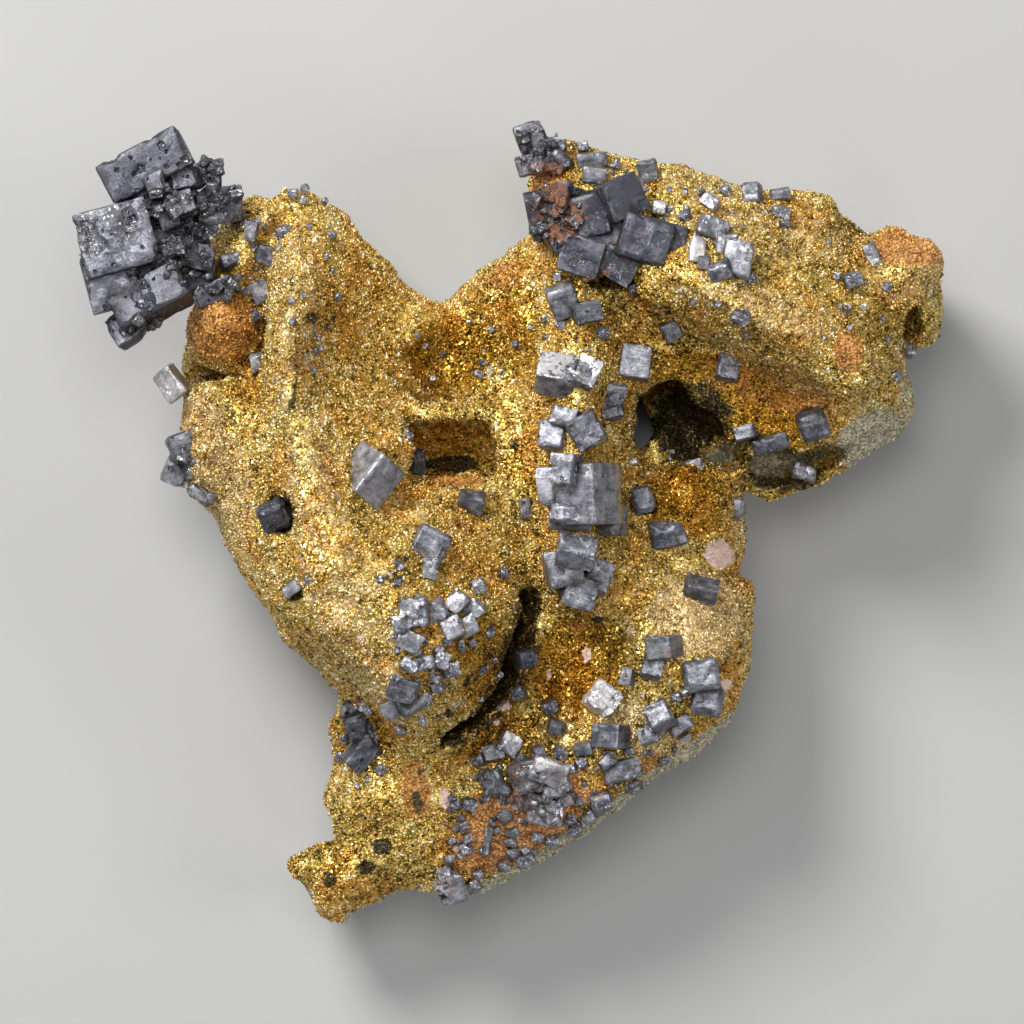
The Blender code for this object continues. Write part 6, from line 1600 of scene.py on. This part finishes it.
@dataclass
class CrystalGroup:
    """Crystals that grew together, drawn as one surface."""

    name: str
    blocks: tuple[Block, ...]
    character: Character
    tones: tuple[float, ...]
    relief: Relief
    seed: int
    cell: float = 0.07
    density: float = 95.0
    solids: list[Solid] = field(init=False)

    def __post_init__(self) -> None:
        """Place the blocks."""
        self.solids = [Solid(block, self.character.growth.value, self.relief, self.seed * 100 + index)
                       for index, block in enumerate(self.blocks)]

    def top(self, x: float, y: float) -> float:
        """Return the level of the highest crystal face over a plan place, or zero where there is none."""
        levels = np.arange(FIELD_LOW[2], FIELD_HIGH[2], 0.1)
        points = np.stack([np.full(len(levels), x), np.full(len(levels), y), levels], axis=1)
        inside = np.min([solid.plain(solid.local(points)) for solid in self.solids], axis=0) < 0.0
        return float(levels[inside].max()) if inside.any() else 0.0

    def clusters(self) -> list[list[Solid]]:
        """Return the crystals in sets that touch."""
        lows = np.array([solid.centre - solid.reach() for solid in self.solids])
        highs = np.array([solid.centre + solid.reach() for solid in self.solids])
        touching = np.all((lows[:, None] < highs[None]) & (lows[None] < highs[:, None]), axis=2)
        label = np.arange(len(self.solids))
        while True:
            lowest = np.where(touching, label[None], len(label)).min(axis=1)
            if np.array_equal(lowest, label):
                break
            label = lowest
        return [[self.solids[index] for index in np.flatnonzero(label == kind)] for kind in np.unique(label)]

    def sample(self) -> MeshData:
        """Return the surfaces of the crystals, those that touch welded together."""
        vertices, faces, count = [], [], 0
        for solids in self.clusters():
            data = self.sample_cluster(solids)
            vertices.append(data.vertices)
            faces.append(data.faces + count)
            count += len(data.vertices)
        return MeshData(np.concatenate(vertices), np.concatenate(faces))

    def sample_cluster(self, solids: Sequence[Solid]) -> MeshData:
        """Return the surface of some blocks welded together."""
        lows = np.array([solid.centre - solid.reach() for solid in solids])
        highs = np.array([solid.centre + solid.reach() for solid in solids])
        low = lows.min(axis=0) - 2.0 * self.cell
        shape = np.ceil((highs.max(axis=0) + 2.0 * self.cell - low) / self.cell).astype(int) + 1
        values = np.ones(shape)
        for solid, start, end in zip(solids, lows, highs):
            first = np.maximum(np.floor((start - low) / self.cell).astype(int), 0)
            last = np.minimum(np.ceil((end - low) / self.cell).astype(int) + 1, shape)
            axes = [low[k] + self.cell * np.arange(first[k], last[k]) for k in range(3)]
            points = np.stack(np.meshgrid(*axes, indexing="ij"), axis=-1)
            window = tuple(slice(a, b) for a, b in zip(first, last))
            values[window] = blend_min(values[window], solid.field(points), self.character.weld)
        return MeshData(*surface_net(values, low, self.cell))

    def build(self, piece: str, material: bpy.types.Material, slot: str,
              nodes: Sequence[str] = ()) -> bpy.types.Object:
        """Make the group's piece.

        Args:
            piece: The piece's name.
            material: Its finish.
            slot: The name of a material slot; not used.
            nodes: The solids that it stands for.

        Returns:
            The new object.
        """
        mesh = self.sample().build(piece)
        area = sum(polygon.area for polygon in mesh.polygons) / (MM * MM)
        mesh = thin_out(mesh, min(1.0, self.density * area / (2.0 * len(mesh.polygons))))
        item = add_piece(piece, mesh, nodes)
        self.dress(item, material)
        return item

    def dress(self, item: bpy.types.Object, material: bpy.types.Material) -> None:
        """Store each vertex's place in its own crystal, its depth, edge, tone and rust, and where highlight
        is painted on lit tops and shade along seams.
        """
        dresser = Dresser(item)
        spots = dresser.vertices()
        best, second = (np.full(len(spots), np.inf) for _ in range(2))
        own = np.zeros((len(spots), 3))
        edge, tone, ground, bright, settled, crumb = (np.zeros(len(spots)) for _ in range(6))
        for solid, lightness in zip(self.solids, self.tones):
            local = solid.local(spots)
            away = solid.plain(local)
            gap = np.sort(np.abs(local) - solid.half, axis=1)
            mine = np.abs(away) < np.abs(best)
            second = np.minimum(second, np.where(mine, np.abs(best), np.abs(away)))
            # Painted highlight on tops, strongest on their north sides, which face the key light
            up = smooth_step(-0.2, -0.05, local[:, 2] - solid.half[2])
            north = smooth_step(-0.5, 0.6, (spots[:, 1] - solid.centre[1]) / solid.half[:2].max())
            bright = np.where(mine, up * (0.3 + 0.7 * north) * smooth_step(-1.2, -0.6, lightness), bright)
            crumb = np.where(mine, float(solid.half.max() < 0.5), crumb)
            settled = np.where(mine, float(solid.centre[2] > solid.ground - 0.3), settled)
            best = np.where(mine, away, best)
            own[mine] = local[mine] * MM
            edge = np.where(mine, smooth_step(-0.16, -0.02, gap[:, 1]), edge)
            tone = np.where(mine, lightness, tone)
            ground = np.where(mine, solid.ground, ground)
        dresser.vector("own", own)
        dresser.value("edge", edge)
        dresser.value("depth", np.maximum(-best, 0.0))
        dresser.value("tone", tone)
        patches = Noise(self.seed + 7).smooth(spots, 1.1) * 0.25
        dresser.value("rust", self.character.rust + patches + 0.35 * stain_and_shade_share(StainAndShade.RUST, spots))
        above = spots[:, 2] - ground
        dresser.value("foot", settled * smooth_step(0.3, 0.0, above) * smooth_step(-0.9, -0.2, above))
        # Painted shade along the seams where two crystals meet
        dresser.value("seam", smooth_step(0.13, 0.02, second))
        dresser.value("crumb", crumb)
        dresser.value("bright", bright * self.character.bright)
        dresser.finish(material, spots.min(axis=0), spots.max(axis=0))
        item.data.shade_smooth()
        item.data.set_sharp_from_angle(angle=math.radians(28.0))


@dataclass
class CrystalSet:
    """Every crystal on the rock."""

    relief: Relief
    groups: list[CrystalGroup] = field(default_factory=list)
    extra: list[CrystalGroup] = field(default_factory=list)

    def __post_init__(self) -> None:
        """Place the crystals that have solids and the smaller ones beside them."""
        rng = np.random.default_rng(3)
        for index, (name, blocks) in enumerate(CRYSTALS.items()):
            base = CrystalGroup(name, blocks, Character(Growth.SMOOTH), (), self.relief, 1)
            blocks += self.rubble(RUBBLE.get(name, ()), base, rng)
            character = CHARACTERS.get(name, Character())
            tones = tuple(character.tone + block.tone + rng.uniform(-0.35, 0.35) for block in blocks)
            self.groups.append(CrystalGroup(name, blocks, character, tones, self.relief, index + 1))
        for index, (name, rows) in enumerate(SMALL_CRYSTALS.items()):
            blocks = []
            for x, y, length, width, turn, _ in rows:
                height = 1.1 * min(length, width) + 0.15
                tilt, roll = rng.uniform(-18, 18, 2)
                blocks.append(Block(x, y, length, width, height, turn, height * 0.22, tilt, roll, edge=0.1))
            self.add_extra(name, blocks, Growth.STEPPED, [row[5] for row in rows], 80 + index)
        strewn = [block for area in STREWN for block in self.strewn(area, rng)]
        self.add_extra("strewn", strewn, Growth.SMOOTH, rng.uniform(-0.8, 0.6, len(strewn)), 90)

    def add_extra(self, name: str, blocks: Sequence[Block], growth: Growth, tones: Sequence[float],
                  seed: int) -> None:
        """Add a group of crystals that have no solid of their own."""
        character = Character(growth, rust=0.2, bright=0.15)
        self.extra.append(CrystalGroup("small_crystals_" + name, tuple(blocks), character, tuple(tones),
                                       self.relief, seed, cell=0.06, density=110.0))

    @staticmethod
    def spot(x: float, y: float, half_x: float, half_y: float, rng: np.random.Generator) -> Place:
        """Return a random plan place in an oval."""
        reach, around = math.sqrt(rng.random()), rng.uniform(0.0, 2.0 * math.pi)
        return x + half_x * reach * math.cos(around), y + half_y * reach * math.sin(around)

    def strewn(self, area: Sequence[float], rng: np.random.Generator) -> list[Block]:
        """Return the loose crystals of an area that lie on the rock."""
        blocks = []
        for _ in range(area[4]):
            place = self.spot(*area[:4], rng)
            size = rng.uniform(0.2, 0.42)
            width, turn = size * rng.uniform(0.7, 1.1), rng.uniform(0.0, 90.0)
            tilt, roll = rng.uniform(-25.0, 25.0), rng.uniform(-25.0, 25.0)
            if edge_distance(np.array([at(*place)]))[0] < -0.6:
                blocks.append(Block(*place, size, width, size, turn, 0.07, tilt, roll, edge=0.08))
        return blocks

    def rubble(self, areas: Sequence[Sequence[float]], base: CrystalGroup,
               rng: np.random.Generator) -> tuple[Block, ...]:
        """Return small broken crystals scattered over areas, each half sunk into the crystals under it."""
        blocks = []
        for x, y, half_x, half_y, count in areas:
            for _ in range(count):
                place = self.spot(x, y, half_x, half_y, rng)
                size = 0.42 * rng.lognormal(0.0, 0.35)
                width, height = size * rng.uniform(0.5, 1.0), size * rng.uniform(0.6, 1.2)
                turn, tilt, roll = rng.uniform(0.0, 90.0), rng.uniform(-35.0, 35.0), rng.uniform(-35.0, 35.0)
                rng.random()  # not used, and kept so that what follows stays in place
                top = base.top(*at(*place))
                if top > 0.0:
                    level = top + size * rng.uniform(-0.15, 0.35)
                    blocks.append(Block(*place, size, width, height, turn, tilt=tilt, roll=roll, level=level,
                                        edge=0.05))
        return tuple(blocks)

    def solids(self) -> list[Solid]:
        """Return every block."""
        return [solid for group in self.groups + self.extra for solid in group.solids]

    def build(self, grey: bpy.types.Material, painted_sheen: bpy.types.Material) -> None:
        """Make every crystal piece.

        Args:
            grey: The finish of the lead-grey crystals.
            painted_sheen: The lighter finish of those groups, with their white reflection painted in.
        """
        for group in self.groups:
            bright = group.name in PAINTED_SHEEN_GROUPS
            slot = "silvery_acanthite" if bright else "acanthite"
            item = group.build(group.name + "_crystal", painted_sheen if bright else grey, slot, [group.name])
            logging.info("%s: %d faces", item.name, len(item.data.polygons))
        for group in self.extra:
            item = group.build(group.name, grey, "acanthite")
            logging.info("%s: %d faces", item.name, len(item.data.polygons))


@dataclass(frozen=True)
class SoftLight:
    """An area light that looks at the specimen: directions in degrees, distance and size in metres."""

    name: str
    azimuth: float
    elevation: float
    distance: float
    size: float
    power: float
    colour: tuple[float, float, float] = (1.0, 1.0, 1.0)
    aim: float = 0.012

    def build(self) -> None:
        """Add the light. An azimuth of 0 lies to the right and 90 at the top of the plan."""
        lamp = bpy.data.lights.new(self.name, "AREA")
        lamp.shape = "DISK"
        lamp.size = self.size
        lamp.energy = self.power
        lamp.color = self.colour
        item = bpy.data.objects.new(self.name, lamp)
        around, up = math.radians(self.azimuth), math.radians(self.elevation)
        item.location = (self.distance * math.cos(up) * math.cos(around),
                         self.distance * math.cos(up) * math.sin(around),
                         self.distance * math.sin(up) + self.aim)
        item.rotation_euler = (math.pi / 2.0 - up, 0.0, around + math.pi / 2.0)
        bpy.context.scene.collection.objects.link(item)


@dataclass
class Studio:
    """The floor, the lights and the camera."""

    lights: tuple[SoftLight, ...] = (
        SoftLight("key", 124.0, 45.0, 0.30, 0.12, 1.2, (1.0, 0.985, 0.96)),
        SoftLight("west_fill", 200.0, 30.0, 0.32, 0.16, 0.14, (0.96, 0.98, 1.0)),
        SoftLight("east_fill", 355.0, 42.0, 0.32, 0.14, 0.25, (1.0, 0.97, 0.94)),
        SoftLight("south_fill", 290.0, 30.0, 0.32, 0.18, 0.14, (0.96, 0.98, 1.0)),
        SoftLight("overhead", 100.0, 78.0, 0.40, 0.16, 0.6),
    )
    floor_reach: float = 0.6
    sky: Colour = (0.62, 0.66, 0.72, 1.0)
    sky_strength: float = 0.26
    lens: float = 400.0
    sensor: float = 36.0
    near_end: float = 0.01
    eye: tuple[float, float, float] = (0.00004, 0.000585, 0.581)

    def build(self) -> None:
        """Make the floor, the lights, the sky and the camera."""
        corners = np.array([(-1, -1, 0), (1, -1, 0), (1, 1, 0), (-1, 1, 0)]) * self.floor_reach / MM
        mesh = MeshData(corners, np.array([[0, 1, 2, 3]])).build("floor")
        floor = bpy.data.objects.new("floor", mesh)
        bpy.context.scene.collection.objects.link(floor)
        mesh.materials.append(FloorFinish().material())
        for light in self.lights:
            light.build()
        world = bpy.data.worlds.new("sky")
        world.use_nodes = True
        sky = world.node_tree.nodes["Background"]
        sky.inputs["Color"].default_value = self.sky
        sky.inputs["Strength"].default_value = self.sky_strength
        bpy.context.scene.world = world
        view = bpy.data.cameras.new("above")
        view.lens = self.lens
        view.sensor_width = self.sensor
        view.clip_start = self.near_end
        camera = bpy.data.objects.new("above", view)
        camera.location = self.eye
        bpy.context.scene.collection.objects.link(camera)
        bpy.context.scene.camera = camera
        bpy.context.scene.view_settings.view_transform = "Standard"


def clear_others() -> None:
    """Remove whatever the scene starts with beside the frame."""
    kept = set(frame["nodes"].values()) | set(frame["bodies"].values())
    for item in list(bpy.data.objects):
        if item not in kept:
            bpy.data.objects.remove(item, do_unlink=True)


def main() -> None:
    """Build the studio, the rock, its crystals and its druse."""
    logging.basicConfig(level=logging.INFO, format="%(message)s")
    clear_others()
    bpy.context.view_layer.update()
    Studio().build()
    relief = Relief()
    rock = RockMatrix(relief)
    item = rock.build(DruseFinish("druse_rock", False).material())
    logging.info("%s: %d faces", item.name, len(item.data.polygons))
    crystals = CrystalSet(relief)
    crystals.build(AcanthiteFinish("acanthite_grey").material(), PAINTED_SHEEN_FINISH.material())
    for item in DruseGrains(rock, crystals.solids()).build(DruseFinish("druse_grains", True).material()):
        logging.info("%s: %d faces", item.name, len(item.data.polygons))


if __name__ == "__main__":
    main()
